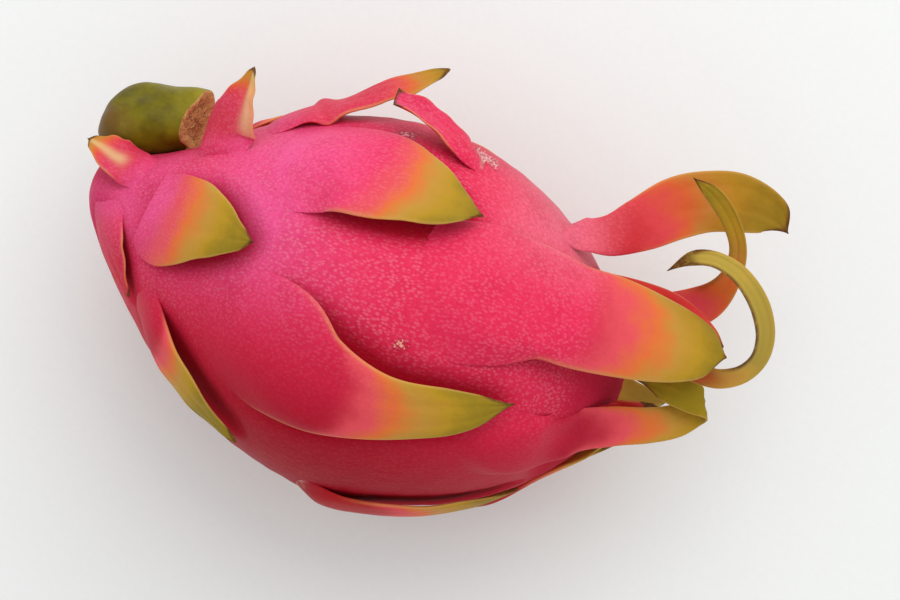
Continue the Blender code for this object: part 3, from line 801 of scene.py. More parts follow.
@dataclass
class FruitBody:
    """The swollen fruit: its skin with soft valleys beside the bracts, a dimpled crown and the rest spot."""

    form: FruitForm
    relief: SkinRelief
    rings: int = field(default_factory=lambda: 230)
    segments: int = field(default_factory=lambda: 300)
    stem_end: float = -68.4
    crown_end: float = 69.2
    navel: float = 3.5
    pleat_count: int = 13
    pleat_height: float = 0.5

    def build(self, finish: bpy.types.Material) -> bpy.types.Object:
        """Make the closed skin with the values its finish reads.

        Args:
            finish: the rind's finish.

        Returns:
            The skin.
        """
        form = self.form
        middle, half = (self.stem_end + self.crown_end) / 2, (self.crown_end - self.stem_end) / 2
        step = (np.arange(self.rings) + 0.6) / (self.rings + 0.2)
        places = middle - half * np.cos(math.pi * step)
        angles = np.arange(self.segments) * 2 * math.pi / self.segments
        x, angle = np.meshgrid(places, angles, indexing="ij")
        valley, cover = self.relief.at(x, angle)
        fine = 0.08 * np.sin(0.9 * x + 6 * angle) * np.sin(11 * angle - 0.2 * x)
        fold = np.sin(self.pleat_count * angle + 1.2 * np.sin(3 * angle))
        drop = self.relief.drop(x, angle) - fine - self.pleat_height * fold * smooth(x, 58.0, 66.0)
        grid = form.place(x, angle, form.radius_at(x, angle) - drop)
        rim = float(form.radius_at(places[-1:], np.zeros(1))[0])
        extra = []
        for share, fall in ((0.86, 0.05), (0.7, 0.22), (0.52, 0.5), (0.34, 0.8), (0.17, 0.95)):
            extra.append(form.place(places[-1] - self.navel * fall, angles, rim * share))
        grid = np.concatenate([grid, np.array(extra)])
        poles = np.array([form.place(np.array(self.stem_end), np.array(0.0), np.array(0.0)),
                          form.place(places[-1] - self.navel, np.array(0.0), np.array(0.0))])
        points = np.concatenate([grid.reshape(-1, 3), poles])
        points[:, 2] = np.maximum(points[:, 2], form.flat_height)
        pad = np.zeros(len(extra) * self.segments)
        # Valley and cover also darken the rind's colour as painted shade; the navel rings and the navel's
        # centre point get it too.
        marks = {"valley": np.concatenate([valley.ravel(), pad + 0.6, [0.0, 1.0]]),
                 "cover": np.concatenate([cover.ravel(), pad, [0.0, 0.0]])}
        body = piece_mesh("fruit_skin", points, tube_faces(grid.shape[0], self.segments), marks)
        body.data.materials.append(finish)
        return body


@dataclass
class StemStub:
    """The chunk of cactus stem: a rounded rind with one rough dry cut face, seated on the fruit.

    Each section holds its middle point, its half width and half height, and how far it tilts.
    """

    form: FruitForm
    sections: tuple[tuple[float, float, float, float, float, float], ...] = (
        (-72.2, 21.2, -2.0, 1.6, 2.0, 0.0), (-71.4, 21.4, -2.0, 4.8, 5.4, 0.0),
        (-69.2, 22.0, -2.0, 7.6, 8.0, 0.0), (-65.0, 23.0, -2.0, 9.2, 9.4, 0.0),
        (-60.0, 24.4, -2.0, 9.4, 9.6, 0.08), (-55.6, 26.0, -2.0, 8.8, 9.2, 0.16),
        (-52.4, 27.2, -2.0, 8.2, 8.6, 0.24), (-49.8, 28.0, -2.0, 7.6, 8.2, 0.32))
    long: int = 64
    around: int = 96
    cut_rings: int = 12
    roughness: float = 0.16

    def ring(self, row: Array, share: float, bulge: float) -> Array:
        """One ring of the stub, pushed clear of the fruit's skin.

        Args:
            row: a section.
            share: the ring's size as a share of the section's.
            bulge: how far it moves along X, in mm.

        Returns:
            The ring's points.
        """
        x, y, z, half_y, half_z, tilt = row
        turn = np.arange(self.around) * 2 * math.pi / self.around
        corner = 1.0 + 0.08 * np.cos(3 * turn + 0.6)
        dents = 0.25 * np.sin(3.1 * turn + 0.35 * x) + 0.18 * np.sin(6.3 * turn - 0.5 * x)
        rise = (half_z * corner + dents) * np.sin(turn) * share
        out = (half_y * corner + dents) * np.cos(turn) * share
        points = np.stack([x + bulge - tilt * rise, y + out, z + rise], axis=-1)
        least = self.form.radius_at(points[:, 0], self.form.angle_of(points)) + 0.1
        low = self.form.radius_of(points) < least
        pushed = self.form.place(points[:, 0], self.form.angle_of(points), least)
        return np.where(low[:, None], pushed, points)

    def cut_face(self) -> Array:
        """A grid of points on the dry cut face.

        Returns:
            Rings of points, each closed on its first, from the rim inwards.
        """
        last = blended(np.array(self.sections), self.long)[-1]
        return np.array([np.concatenate([ring, ring[:1]]) for ring in (
            self.ring(last, share, -0.8 * (1 - share)) for share in (0.98, 0.75, 0.5, 0.25, 0.05))])

    def build(self, finish: bpy.types.Material) -> bpy.types.Object:
        """Make the closed stub with its cut face marked.

        Args:
            finish: the stub's finish.

        Returns:
            The stub.
        """
        rows = blended(np.array(self.sections), self.long)
        rings = [self.ring(row, 1.0, 0.0) for row in rows]
        cut = [0.0] * (len(rings) - 1) + [0.6]
        wobble = np.random.default_rng(7)
        for share in np.linspace(0.95, 0.08, self.cut_rings):
            bulge = -0.9 * (1 - share) + 0.25 * math.sin(9 * share)
            ring = self.ring(rows[-1], float(share), bulge)
            ring[:, 0] += wobble.normal(0, self.roughness, self.around)
            rings.append(ring)
            cut.append(1.0)
        grid = np.array(rings)
        points = np.concatenate([grid.reshape(-1, 3), [grid[0].mean(axis=0)], [grid[-1].mean(axis=0)]])
        marks = {"cut": np.concatenate([np.repeat(cut, self.around), [0.0, 1.0]])}
        stub = piece_mesh("stem_stub_rind", points, tube_faces(*grid.shape[:2]), marks)
        stub.data.materials.append(finish)
        return stub


class Recipe(Enum):
    """Nodes that the finishes use often: type, settings, and the inputs that are fed in order."""

    TIMES = ("ShaderNodeMath", {"operation": "MULTIPLY"}, (0, 1))
    PLUS = ("ShaderNodeMath", {"operation": "ADD"}, (0, 1))
    LESS = ("ShaderNodeMath", {"operation": "SUBTRACT"}, (0, 1))
    MOST = ("ShaderNodeMath", {"operation": "MAXIMUM"}, (0, 1))
    SPAN = ("ShaderNodeMapRange", {"interpolation_type": "SMOOTHSTEP"}, (0, 1, 2, 3, 4))
    BLEND = ("ShaderNodeMix", {"data_type": "RGBA", "clamp_factor": True}, (0, 6, 7))
    NOISE = ("ShaderNodeTexNoise", {}, ("Vector", "Scale", "Detail", "Roughness", "Distortion"))
    STRETCH = ("ShaderNodeMapping", {}, ("Vector", "Scale"))
    SPLIT = ("ShaderNodeSeparateXYZ", {}, ("Vector",))
    RAMP = ("ShaderNodeValToRGB", {}, ("Fac",))
    RELIEF = ("ShaderNodeBump", {}, ("Height", "Strength", "Distance"))


READ = {"ShaderNodeMix": 2, "ShaderNodeAttribute": "Fac", "ShaderNodeTexCoord": "Object"}  # else output 0
Feed = bpy.types.Node | bpy.types.NodeSocket | float | int | str | tuple


def feed(node: bpy.types.Node, feeds: dict[int | str, Feed]) -> None:
    """Feed a node's inputs.

    Args:
        node: the node.
        feeds: input name or number to a node, an output socket or a value; a hex colour is turned
            to linear.
    """
    for key, value in feeds.items():
        if isinstance(value, bpy.types.Node):
            value = value.outputs[READ.get(value.bl_idname, 0)]
        if isinstance(value, bpy.types.NodeSocket):
            node.id_data.links.new(value, node.inputs[key])
        else:
            node.inputs[key].default_value = linear(value) if isinstance(value, str) else value


def add_node(
    tree: bpy.types.NodeTree, kind: Recipe | str, feeds: tuple[Feed, ...] | dict[int | str, Feed] = (),
    stops: tuple[tuple[float, str], ...] = (), **settings: object,
) -> bpy.types.Node:
    """Add one node with its settings and links.

    Args:
        tree: the node tree.
        kind: a recipe, or the node's type name.
        feeds: what feeds the recipe's inputs, in order, or what feeds each named input.
        stops: the places and hex colours of a colour ramp.
        settings: the node's own properties.

    Returns:
        The new node.
    """
    name, usual, order = kind.value if isinstance(kind, Recipe) else (kind, {}, ())
    node = tree.nodes.new(name)
    for key, value in {**usual, **settings}.items():
        setattr(node, key, value)
    feed(node, feeds if isinstance(feeds, dict) else dict(zip(order, feeds)))
    if stops:
        elements = node.color_ramp.elements
        while len(elements) < len(stops):
            elements.new(0.5)
        for element, (place, colour) in zip(elements, stops):
            element.position = place
            element.color = linear(colour)
    return node


def start_finish(name: str) -> tuple[bpy.types.Material, bpy.types.NodeTree, bpy.types.Node, bpy.types.Node]:
    """Start a finish.

    Args:
        name: the material's name.

    Returns:
        The material, its node tree, its shader and its Object coordinates.
    """
    material = bpy.data.materials.new(name)
    material.use_nodes = True
    tree = material.node_tree
    return material, tree, tree.nodes["Principled BSDF"], add_node(tree, "ShaderNodeTexCoord")


@dataclass(frozen=True)
class Scar:
    """A healed nick in the rind: its place in the row frame and size in metres, and its colour."""

    place: tuple[float, float, float]
    size: float
    tone: str


@dataclass(frozen=True)
class PitayaSkin:
    """Ripe pitaya rind: waxy, satin, magenta to crimson.

    The living rind is smooth and waxy, so it gives broad soft highlights, and its pale
    pores, about 0.7 mm apart, read as fine light speckles. Its colour also carries painted light:
    a deeper crimson on the side turned from the key light, on the underside and in the crown
    pocket is painted shade, and a pale pink patch on the far shoulder is painted sheen. Pairs of
    places say where along an axis a tone begins and where it is full, in metres.
    """

    rose: str = "#e52e58"
    violet: str = "#ee5c9c"
    crimson: str = "#b00822"
    deep: str = "#860312"
    groove_shade: str = "#a80418"
    pore: str = "#f592a9"
    sheen_tint: str = "#f7a3b6"
    pore_gap: float = 0.00070
    roughness: float = 0.48
    hidden_roughness: float = 0.95
    gloss: float = 0.10
    painted_shade_side: tuple[float, float] = (0.010, -0.042)
    painted_darkest_side: tuple[float, float] = (-0.022, -0.050)
    painted_shade_underneath: tuple[float, float] = (0.078, 0.030)
    stem_part: tuple[float, float] = (0.002, -0.050)
    # The side the violet keeps to: the one towards the key light, where it is partly painted sheen.
    stem_side: tuple[float, float] = (-0.028, 0.002)
    crown_shade_part: tuple[float, float] = (0.038, 0.052)
    crown_pocket: tuple[float, float] = (0.038, 0.050)
    sheen_side: tuple[float, float] = (0.008, 0.030)
    sheen_start: tuple[float, float] = (0.0, 0.035)
    sheen_end: tuple[float, float] = (0.048, 0.036)
    scars: tuple[Scar, ...] = (
        Scar((0.0030, -0.0104, 0.0908), 0.0011, "#eba793"),
        Scar((0.0012, -0.0245, 0.0870), 0.0006, "#e0907c"),
        Scar((0.0052, 0.0372, 0.0612), 0.0030, "#ecc0bd"),
        Scar((-0.0130, 0.0362, 0.0652), 0.0017, "#e9aeb4"))

    def colours(
        self, tree: bpy.types.NodeTree, coords: bpy.types.Node,
    ) -> tuple[bpy.types.Node, bpy.types.Node]:
        """The rind's colour and its pore pattern.

        Args:
            tree: the finish's node tree.
            coords: its Object coordinates.

        Returns:
            The colour, and how strong the pores are.
        """
        broad = add_node(tree, Recipe.NOISE, (coords, 22.0, 2.0, 0.5))
        patch = add_node(tree, Recipe.NOISE, (coords, 75.0, 3.0, 0.6))
        mottle = add_node(tree, Recipe.NOISE, (coords, 1500.0, 2.0))
        place = add_node(tree, Recipe.SPLIT, (coords,)).outputs
        # Painted shade: the side turned from the key light and the underside are darkened to a deeper
        # crimson.
        shaded = add_node(tree, Recipe.SPAN, (place["Y"], *self.painted_shade_side))
        low = add_node(tree, Recipe.SPAN, (place["Z"], *self.painted_shade_underneath))
        painted_shade = add_node(tree, Recipe.MOST, (
            add_node(tree, Recipe.TIMES, (shaded, 0.85)), add_node(tree, Recipe.TIMES, (low, 0.75))))
        # The stem end is more violet, in soft patches, and only on the side towards the key light: partly the
        # rind's own tone, partly painted sheen.
        violet = add_node(tree, Recipe.TIMES, (
            add_node(tree, Recipe.SPAN, (place["X"], *self.stem_part)),
            add_node(tree, Recipe.SPAN, (broad, 0.3, 0.65, 0.35, 1.0))))
        violet = add_node(tree, Recipe.TIMES, (
            violet, add_node(tree, Recipe.SPAN, (place["Y"], *self.stem_side))))
        colour = add_node(tree, Recipe.BLEND, (violet, self.rose, self.violet))
        colour = add_node(tree, Recipe.BLEND, (painted_shade, colour, self.crimson))
        # Painted shade: the side farthest from the key light is darkened further to deep red.
        dark = add_node(tree, Recipe.SPAN, (place["Y"], *self.painted_darkest_side))
        colour = add_node(tree, Recipe.BLEND, (add_node(tree, Recipe.TIMES, (dark, 0.75)), colour, self.deep))
        # Painted sheen: pale pink over the far shoulder.
        colour = add_node(tree, Recipe.BLEND, (self.painted_sheen(tree, place, broad), colour, self.sheen_tint))
        blotch = add_node(tree, Recipe.SPAN, (patch, 0.45, 0.75, 0.0, 0.28))
        colour = add_node(tree, Recipe.BLEND, (blotch, colour, self.crimson))
        # Painted shade: the crown end's pocket is darkened to deep red.
        crown = add_node(tree, Recipe.SPAN, (place["X"], *self.crown_shade_part))
        colour = add_node(tree, Recipe.BLEND, (add_node(tree, Recipe.TIMES, (crown, 0.6)), colour, self.deep))
        freckle = add_node(tree, Recipe.SPAN, (mottle, 0.4, 0.7, 0.0, 0.22))
        colour = add_node(tree, Recipe.BLEND, (freckle, colour, self.crimson))
        for scar in self.scars:
            colour = self.scarred(tree, coords, mottle, colour, scar)
        drawn = add_node(tree, Recipe.STRETCH, (coords, (0.6, 1.0, 1.0)))
        cells = add_node(tree, "ShaderNodeTexVoronoi", {
            "Vector": drawn, "Scale": 1.0 / self.pore_gap, "Randomness": 0.9})
        pores = add_node(tree, Recipe.SPAN, (cells, 0.60, 0.16))
        # Pores are fainter in patches, on the side painted in shade and in the crown's painted shade.
        for where in (
                add_node(tree, Recipe.SPAN, (patch, 0.3, 0.65, 0.55, 1.0)),
                add_node(tree, Recipe.SPAN, (painted_shade, 0.1, 0.8, 1.0, 0.12)),
                add_node(tree, Recipe.SPAN, (crown, 0.0, 0.6, 1.0, 0.15))):
            pores = add_node(tree, Recipe.TIMES, (pores, where))
        return colour, pores

    def painted_sheen(
        self, tree: bpy.types.NodeTree, place: bpy.types.NodeOutputs, broad: bpy.types.Node,
    ) -> bpy.types.Node:
        """Painted sheen: a pale pink patch on the far shoulder that stands for the soft key light glancing
        off the rind.

        Args:
            tree: the finish's node tree.
            place: X, Y and Z.
            broad: slow noise.

        Returns:
            How strong the painted sheen is.
        """
        painted_sheen = add_node(tree, Recipe.SPAN, (place["Y"], *self.sheen_side))
        for share in (
                add_node(tree, Recipe.SPAN, (place["X"], *self.sheen_start)),
                add_node(tree, Recipe.SPAN, (broad, 0.3, 0.7, 0.25, 0.75)),
                add_node(tree, Recipe.SPAN, (place["X"], *self.sheen_end))):
            painted_sheen = add_node(tree, Recipe.TIMES, (painted_sheen, share))
        return painted_sheen

    def scarred(
        self, tree: bpy.types.NodeTree, coords: bpy.types.Node, mottle: bpy.types.Node,
        colour: bpy.types.Node, scar: Scar,
    ) -> bpy.types.Node:
        """The colour with one ragged pale scar and its dark rim.

        Args:
            tree: the finish's node tree.
            coords: its Object coordinates.
            mottle: fine noise that makes the scar ragged.
            colour: the colour so far.
            scar: the scar.

        Returns:
            The colour with the scar.
        """
        away = add_node(tree, "ShaderNodeVectorMath", {0: coords, 1: scar.place}, operation="DISTANCE")
        ragged = add_node(tree, Recipe.TIMES, (mottle, scar.size * 5.0))
        near = add_node(tree, Recipe.LESS, (away.outputs["Value"], ragged))
        rim = add_node(tree, Recipe.SPAN, (near, scar.size * -0.8, scar.size * -1.5))
        core = add_node(tree, Recipe.SPAN, (near, scar.size * -1.5, scar.size * -2.1))
        colour = add_node(tree, Recipe.BLEND, (add_node(tree, Recipe.TIMES, (rim, 0.6)), colour, self.deep))
        return add_node(tree, Recipe.BLEND, (add_node(tree, Recipe.TIMES, (core, 0.85)), colour, scar.tone))

    def wrinkles(self, tree: bpy.types.NodeTree, coords: bpy.types.Node) -> bpy.types.Node:
        """Fine wrinkles that run along the fruit, as a height."""
        drawn = add_node(tree, Recipe.STRETCH, (coords, (0.16, 1.0, 1.0)))
        return add_node(tree, Recipe.TIMES, (add_node(tree, Recipe.NOISE, (drawn, 420.0, 3.0, 0.6)), 1.6))

    def finish(
        self, tree: bpy.types.NodeTree, colour: bpy.types.Node, hidden: Feed, height: bpy.types.Node,
    ) -> None:
        """Set the shader of a waxy rind, dull where it is hidden.

        Args:
            tree: the finish's node tree.
            colour: its colour.
            hidden: one in grooves and on inner faces.
            height: its small-scale relief.
        """
        dull = add_node(tree, Recipe.SPAN, (hidden, 0.0, 0.6, self.roughness, self.hidden_roughness))
        feed(tree.nodes["Principled BSDF"], {
            "Base Color": colour,
            "Roughness": dull,
            "Specular IOR Level": self.gloss,
            "Subsurface Weight": 0.06,
            "Subsurface Radius": (1.0, 0.25, 0.18),
            "Subsurface Scale": 0.003,
            "Normal": add_node(tree, Recipe.RELIEF, (height, 0.35, 0.00025))})

    def material(self) -> bpy.types.Material:
        """The rind of the fruit's body.

        Returns:
            The material.
        """
        material, tree, _, coords = start_finish("pitaya_rind_waxy")
        colour, pores = self.colours(tree, coords)
        valley = add_node(tree, "ShaderNodeAttribute", attribute_name="valley")
        cover = add_node(tree, "ShaderNodeAttribute", attribute_name="cover")
        # Pale pores, then painted shade: crimson in the valleys beside the bracts and a darker red where a
        # bract covers the skin.
        for share, strength, tone in (
                (pores, 0.30, self.pore), (valley, 0.45, self.crimson), (cover, 0.8, self.groove_shade)):
            share = add_node(tree, Recipe.TIMES, (share, strength))
            colour = add_node(tree, Recipe.BLEND, (share, colour, tone))
        fine = add_node(tree, Recipe.NOISE, (coords, 900.0, 3.0))
        height = add_node(tree, Recipe.PLUS, (add_node(tree, Recipe.TIMES, (pores, 0.7)), fine))
        height = add_node(tree, Recipe.PLUS, (height, self.wrinkles(tree, coords)))
        place = add_node(tree, Recipe.SPLIT, (coords,)).outputs
        pocket = add_node(tree, Recipe.SPAN, (place["X"], *self.crown_pocket))
        hidden = add_node(tree, Recipe.MOST, (cover, add_node(tree, Recipe.MOST, (valley, pocket))))
        self.finish(tree, colour, hidden, height)
        return material


@dataclass(frozen=True)
class BractLeather:
    """Pitaya bract: the same waxy rind drawn out to a fleshy leaf that turns from pink to olive.

    It is smooth and satin, its colour runs through orange and yellow to green where the tissue
    keeps its chlorophyll, its margins are a thin pale line, and its dead tips are brown and papery.
    """

    slot: Slot
    coral: str = "#e04e58"
    orange: str = "#dd7036"
    ochre: str = "#bf8d38"
    olive: str = "#b38c22"
    green: str = "#8f781c"
    margin: str = "#d3a25c"
    inner: str = "#cb2136"
    flush: str = "#c62a20"
    dead: str = "#5f3d1c"
    vein: str = "#dcc486"
    flesh: str = "#e8b4ac"
    scab: str = "#9c3f2c"
    skin: PitayaSkin = PitayaSkin()

    def material(self) -> bpy.types.Material:
        """The rind of the bracts that share this finish.

        Returns:
            The material.
        """
        material, tree, _, coords = start_finish("bract_rind_" + self.slot.value)
        # The rind colour carries the skin's painted shade and painted sheen.
        rind, pores = self.skin.colours(tree, coords)
        mark = {key: add_node(tree, "ShaderNodeAttribute", attribute_name=key)
                for key in ("ripe", "rim", "inside", "dry", "red", "torn", "rib")}
        cloud = add_node(tree, Recipe.NOISE, (coords, 140.0, 4.0, 0.6))
        shift = add_node(tree, Recipe.SPAN, (cloud, 0.3, 0.7, -0.05, 0.05))
        begun = add_node(tree, Recipe.TIMES, (mark["ripe"], 4.0), use_clamp=True)
        shift = add_node(tree, Recipe.TIMES, (shift, begun))
        ripe = add_node(tree, Recipe.PLUS, (mark["ripe"], shift), use_clamp=True)
        turned = add_node(tree, Recipe.RAMP, (ripe,), stops=(
            (0.0, self.coral), (0.22, self.coral), (0.42, self.orange), (0.62, self.ochre),
            (0.82, self.olive), (1.0, self.green)))
        colour = add_node(tree, Recipe.BLEND, (add_node(tree, Recipe.SPAN, (ripe, 0.0, 0.22)), rind, turned))
        inner = add_node(tree, Recipe.BLEND, (
            add_node(tree, Recipe.SPAN, (ripe, 0.1, 0.55)), self.inner, turned))
        grain = add_node(tree, Recipe.NOISE, (coords, 420.0, 5.0, 0.7))
        crust = add_node(tree, Recipe.TIMES, (
            mark["dry"], add_node(tree, Recipe.SPAN, (grain, 0.25, 0.55, 0.35, 1.0))))
        ragged = add_node(tree, Recipe.BLEND, (
            add_node(tree, Recipe.SPAN, (grain, 0.42, 0.58)), self.scab, self.flesh))
        faded = add_node(tree, Recipe.TIMES, (
            pores, add_node(tree, Recipe.SPAN, (ripe, 0.6, 0.1, 0.0, 0.20))))
        for share, strength, tone in (
                (mark["inside"], 0.85, inner), (mark["red"], 1.0, self.flush), (mark["rib"], 1.0, self.vein),
                (faded, 1.0, self.skin.pore), (mark["rim"], 0.45, self.margin), (crust, 1.0, self.dead),
                (mark["torn"], 0.75, ragged)):
            share = add_node(tree, Recipe.TIMES, (share, strength))
            colour = add_node(tree, Recipe.BLEND, (share, colour, tone))
        fine = add_node(tree, Recipe.NOISE, (coords, 800.0, 3.0))
        height = add_node(tree, Recipe.PLUS, (add_node(tree, Recipe.TIMES, (faded, 0.7)), fine))
        height = add_node(tree, Recipe.PLUS, (height, add_node(tree, Recipe.TIMES, (crust, grain))))
        height = add_node(tree, Recipe.PLUS, (height, self.skin.wrinkles(tree, coords)))
        self.skin.finish(tree, colour, mark["inside"], height)
        return material


@dataclass(frozen=True)
class CactusRind:
    """Cut cactus stem: olive waxy rind with corky brown scars, and a dry tan fibrous cut face."""

    green: str = "#756b0c"
    light: str = "#938620"
    dark: str = "#463f08"
    cork: str = "#6b4a22"
    pith: str = "#e0aa6c"
    pith_dark: str = "#b9824e"
    pith_light: str = "#dcae78"
    gloss: float = 0.12
    rind_roughness: float = 0.42
    pith_roughness: float = 0.9
    corky_end: tuple[float, float] = (-0.070, -0.082)

    def material(self) -> bpy.types.Material:
        """The stub's rind and cut face.

        Returns:
            The material.
        """
        material, tree, shader, coords = start_finish("cactus_rind_and_dry_pith")
        cut = add_node(tree, "ShaderNodeAttribute", attribute_name="cut")
        cloud = add_node(tree, Recipe.NOISE, (coords, 90.0, 5.0, 0.6))
        scar = add_node(tree, Recipe.NOISE, (coords, 60.0, 6.0, 0.65, 0.8))
        fibre = add_node(tree, Recipe.NOISE, (coords, 900.0, 6.0, 0.75))
        rind = add_node(tree, Recipe.RAMP, (cloud,), stops=(
            (0.25, self.dark), (0.5, self.green), (0.75, self.light)))
        place = add_node(tree, Recipe.SPLIT, (coords,)).outputs
        left = add_node(tree, Recipe.SPAN, (place["X"], *self.corky_end))
        corky = add_node(tree, Recipe.TIMES, (left, add_node(tree, Recipe.SPAN, (scar, 0.37, 0.52))))
        rind = add_node(tree, Recipe.BLEND, (add_node(tree, Recipe.TIMES, (corky, 0.85)), rind, self.cork))
        pith = add_node(tree, Recipe.RAMP, (fibre,), stops=(
            (0.3, self.pith_dark), (0.55, self.pith), (0.8, self.pith_light)))
        height = add_node(tree, Recipe.PLUS, (
            add_node(tree, Recipe.TIMES, (fibre, cut)), add_node(tree, Recipe.TIMES, (scar, 0.6))))
        rough = add_node(tree, Recipe.SPAN, (cut, 0.0, 1.0, self.rind_roughness, self.pith_roughness))
        feed(shader, {
            "Base Color": add_node(tree, Recipe.BLEND, (cut, rind, pith)),
            "Roughness": rough,
            "Specular IOR Level": self.gloss,
            "Normal": add_node(tree, Recipe.RELIEF, (height, 0.7, 0.0011))})
        return material


@dataclass(frozen=True)
class DryFibre:
    """Dry plant fibre: matt, straw to brown, lighter at random."""

    tone: str
    shade: str
    roughness: float = 0.9

    def material(self) -> bpy.types.Material:
        """The finish of the fibres.

        Returns:
            The material.
        """
        material, tree, shader, coords = start_finish("dry_fibre_" + self.tone.lstrip("#"))
        noise = add_node(tree, Recipe.NOISE, (coords, 700.0, 2.0))
        lit = add_node(tree, Recipe.SPAN, (noise, 0.35, 0.65))
        feed(shader, {
            "Base Color": add_node(tree, Recipe.BLEND, (lit, self.shade, self.tone)),
            "Roughness": self.roughness})
        return material


@dataclass
class FibreTuft:
    """Short dry fibres on a cut or torn patch, scattered by a geometry node tree. Sizes in metres."""

    name: str
    density: float
    length: float
    radius: float
    seed: int
    tip_radius: float = 0.00002
    sides: int = 5

    def tree(self) -> bpy.types.NodeTree:
        """The scatter: points on the patch, a thin cone on each, made real and given its finish.

        Returns:
            The geometry node tree.
        """
        tree = bpy.data.node_groups.new(self.name + "_scatter", "GeometryNodeTree")
        inputs = {"Patch": "Geometry", "Density": "Float", "Length": "Float", "Radius": "Float",
                  "Seed": "Int", "Finish": "Material"}
        for label, kind in inputs.items():
            tree.interface.new_socket(label, in_out="INPUT", socket_type="NodeSocket" + kind)
        tree.interface.new_socket("Fibres", in_out="OUTPUT", socket_type="NodeSocketGeometry")
        given = add_node(tree, "NodeGroupInput").outputs
        points = add_node(tree, "GeometryNodeDistributePointsOnFaces", {
            "Mesh": given["Patch"], "Density": given["Density"], "Seed": given["Seed"]})
        cone = add_node(tree, "GeometryNodeMeshCone", {
            "Vertices": self.sides, "Radius Top": self.tip_radius, "Radius Bottom": given["Radius"],
            "Depth": given["Length"]})
        lean = add_node(tree, "FunctionNodeRandomValue", {
            0: (-1.1, -1.1, -3.1), 1: (1.1, 1.1, 3.1), "Seed": given["Seed"]}, data_type="FLOAT_VECTOR")
        turn = add_node(tree, "FunctionNodeEulerToRotation", {0: lean})
        turned = add_node(tree, "FunctionNodeRotateRotation", {0: points.outputs["Rotation"], 1: turn},
                          rotation_space="LOCAL")
        size = add_node(tree, "FunctionNodeRandomValue", {2: 0.4, 3: 1.2, "Seed": given["Seed"]},
                        data_type="FLOAT")
        spread = add_node(tree, "GeometryNodeInstanceOnPoints", {
            "Points": points, "Instance": cone, "Rotation": turned, "Scale": size.outputs[1]})
        real = add_node(tree, "GeometryNodeRealizeInstances", {0: spread})
        final = add_node(tree, "GeometryNodeSetMaterial", {"Geometry": real, "Material": given["Finish"]})
        add_node(tree, "NodeGroupOutput", {"Fibres": final})
        return tree

    def build(self, patch: Array, finish: bpy.types.Material) -> bpy.types.Object:
        """Scatter the fibres and turn them to a plain mesh.

        Args:
            patch: a grid of points in mm round the fruit's middle point.
            finish: the fibres' finish.

        Returns:
            The fibres as one object.
        """
        rows, wide = patch.shape[:2]
        faces = [(r * wide + k, r * wide + k + 1, (r + 1) * wide + k + 1, (r + 1) * wide + k)
                 for r in range(rows - 1) for k in range(wide - 1)]
        carrier = piece_mesh(self.name + "_patch", patch.reshape(-1, 3), faces, {})
        modifier = carrier.modifiers.new("scatter", "NODES")
        modifier.node_group = self.tree()
        wanted = {"Density": self.density, "Length": self.length, "Radius": self.radius, "Seed": self.seed,
                  "Finish": finish}
        for item in modifier.node_group.interface.items_tree:
            if item.in_out == "INPUT" and item.name in wanted:
                modifier[item.identifier] = wanted[item.name]
        graph = bpy.context.evaluated_depsgraph_get()
        mesh = bpy.data.meshes.new_from_object(carrier.evaluated_get(graph))
        mesh.name = self.name
        carrier.modifiers.clear()
        bpy.data.objects.remove(carrier, do_unlink=True)
        fibres = bpy.data.objects.new(self.name, mesh)
        bpy.context.scene.collection.objects.link(fibres)
        return fibres


@dataclass
class TornPatch:
    """The patch of torn skin beside the snapped bract, as a span of X in mm and of angle in degrees."""

    form: FruitForm
    relief: SkinRelief
    along: tuple[float, float] = (14.5, 22.5)
    round_span: tuple[float, float] = (17.0, 27.0)
    steps: int = 6

    def grid(self) -> Array:
        """Points on the skin over the patch."""
        x, angle = np.meshgrid(np.linspace(*self.along, self.steps),
                               np.radians(np.linspace(*self.round_span, self.steps)), indexing="ij")
        return self.form.place(x, angle, self.form.radius_at(x, angle) - self.relief.drop(x, angle))


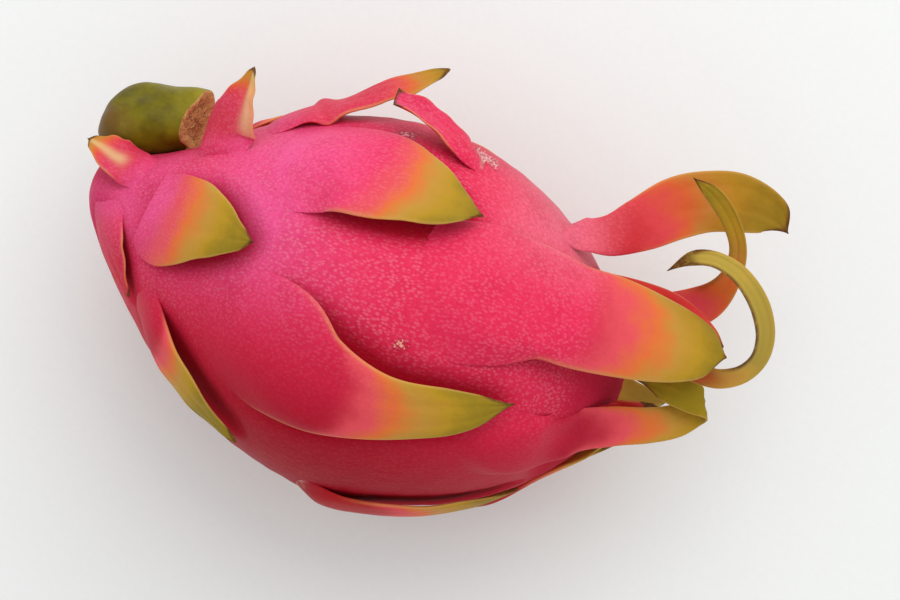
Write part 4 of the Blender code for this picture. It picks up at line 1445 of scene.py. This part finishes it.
@dataclass
class Studio:
    """A pale paper floor, one large soft window light, a weak fill, a pale room and the camera."""

    lens: float = 90.2
    sensor: float = 36.0
    height: float = 0.550
    aside: float = 0.0244
    tilt: float = math.radians(20.0)
    floor_size: float = 3.0
    floor_tones: tuple[str, str] = ("#edf0ef", "#f1f4f3")
    room_colour: tuple[float, float, float, float] = (1.0, 1.0, 0.995, 1.0)
    room_strength: float = 0.73
    window_power: float = 9.8
    bounce_power: float = 1.0

    def build(self) -> None:
        """Make the floor, the lights, the room and the camera."""
        self.floor()
        self.lights()
        self.camera()
        bpy.context.scene.view_settings.view_transform = "Standard"

    def floor(self) -> None:
        """The pale floor, which isn't part of the object: matt paper with a faint grain."""
        half = self.floor_size / 2
        mesh = bpy.data.meshes.new("paper_floor")
        corners = [(-half, -half, 0.0), (half, -half, 0.0), (half, half, 0.0), (-half, half, 0.0)]
        mesh.from_pydata(corners, [], [(0, 1, 2, 3)])
        floor = bpy.data.objects.new("paper_floor", mesh)
        bpy.context.scene.collection.objects.link(floor)
        material, tree, shader, coords = start_finish("matt_white_paper")
        grain = add_node(tree, Recipe.NOISE, (coords, 600.0, 2.0))
        feed(shader, {
            "Base Color": add_node(tree, Recipe.BLEND, (grain, *self.floor_tones)), "Roughness": 0.85})
        mesh.materials.append(material)

    def lights(self) -> None:
        """A large soft key from the far side, a weak fill and an even pale room."""
        world = bpy.data.worlds.new("pale_room")
        world.use_nodes = True
        background = world.node_tree.nodes["Background"]
        background.inputs["Color"].default_value = self.room_colour
        background.inputs["Strength"].default_value = self.room_strength
        bpy.context.scene.world = world
        across = Vector((math.cos(self.tilt), math.sin(self.tilt), 0.0))
        upward = Vector((-math.sin(self.tilt), math.cos(self.tilt), 0.0))
        key = across * 0.35 + upward * 0.85 + Vector((0, 0, 1.05))
        self.area("window", key, 1.3, self.window_power, (1.0, 1.0, 1.0))
        weak = across * -0.6 + upward * 0.3 + Vector((0, 0, 1.2))
        self.area("bounce", weak, 1.2, self.bounce_power, (1.0, 0.98, 1.0))

    def area(
        self, name: str, place: Vector, size: float, power: float, colour: tuple[float, float, float],
    ) -> None:
        """One square soft light aimed at the fruit.

        Args:
            name: its name.
            place: where it stands.
            size: the length of its side.
            power: in watts.
            colour: linear red, green and blue.
        """
        data = bpy.data.lights.new(name, "AREA")
        data.shape = "SQUARE"
        data.size = size
        data.energy = power
        data.color = colour
        light = bpy.data.objects.new(name, data)
        light.location = place
        light.rotation_euler = (Vector((0, 0, 0.04)) - place).to_track_quat("-Z", "Y").to_euler()
        bpy.context.scene.collection.objects.link(light)

    def camera(self) -> None:
        """The camera, looking straight down with the fruit's axis running down to the right."""
        data = bpy.data.cameras.new("camera")
        data.lens = self.lens
        data.sensor_width = self.sensor
        data.dof.use_dof = False
        camera = bpy.data.objects.new("camera", data)
        camera.location = (
            MIDDLE[0] * MM + self.aside * math.cos(self.tilt),
            MIDDLE[1] * MM + self.aside * math.sin(self.tilt), MIDDLE[2] * MM + self.height)
        camera.rotation_euler = (0.0, 0.0, self.tilt)
        bpy.context.scene.collection.objects.link(camera)
        bpy.context.scene.camera = camera


def main() -> None:
    """Build the studio and every piece."""
    logging.basicConfig(level=logging.INFO, format="%(message)s")
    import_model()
    Studio().build()
    form = FruitForm()
    form.gather_swells(PLANS)
    relief = SkinRelief(form, PLANS)
    hand_over(FruitBody(form, relief).build(PitayaSkin().material()), Slot.SKIN, "fruit_body")
    stem = StemStub(form)
    hand_over(stem.build(CactusRind().material()), Slot.STEM, "stem_stub")
    straw = DryFibre("#cfa676", "#9a6c40").material()
    tuft = FibreTuft("stem_stub_fibres", density=1.6e6, length=0.0012, radius=0.00016, seed=3)
    hand_over(tuft.build(stem.cut_face(), straw), Slot.STEM)
    shreds = DryFibre("#f0cdc8", "#d98f92").material()
    tuft = FibreTuft("torn_skin_shreds", density=1.1e6, length=0.0011, radius=0.00022, seed=5)
    hand_over(tuft.build(TornPatch(form, relief).grid(), shreds), Slot.SKIN)
    green = BractLeather(Slot.GREEN, orange="#dc9450", ochre="#d2ac50", olive="#ccaa48", green="#b09c40")
    leathers = {leather.slot: leather.material()
                for leather in (BractLeather(Slot.PINK), BractLeather(Slot.ORANGE), green)}
    for number, plan in enumerate(PLANS):
        bract = BractSheet(plan, form, relief, number).build(leathers[plan.slot])
        hand_over(bract, plan.slot, plan.name)


if __name__ == "__main__":
    main()
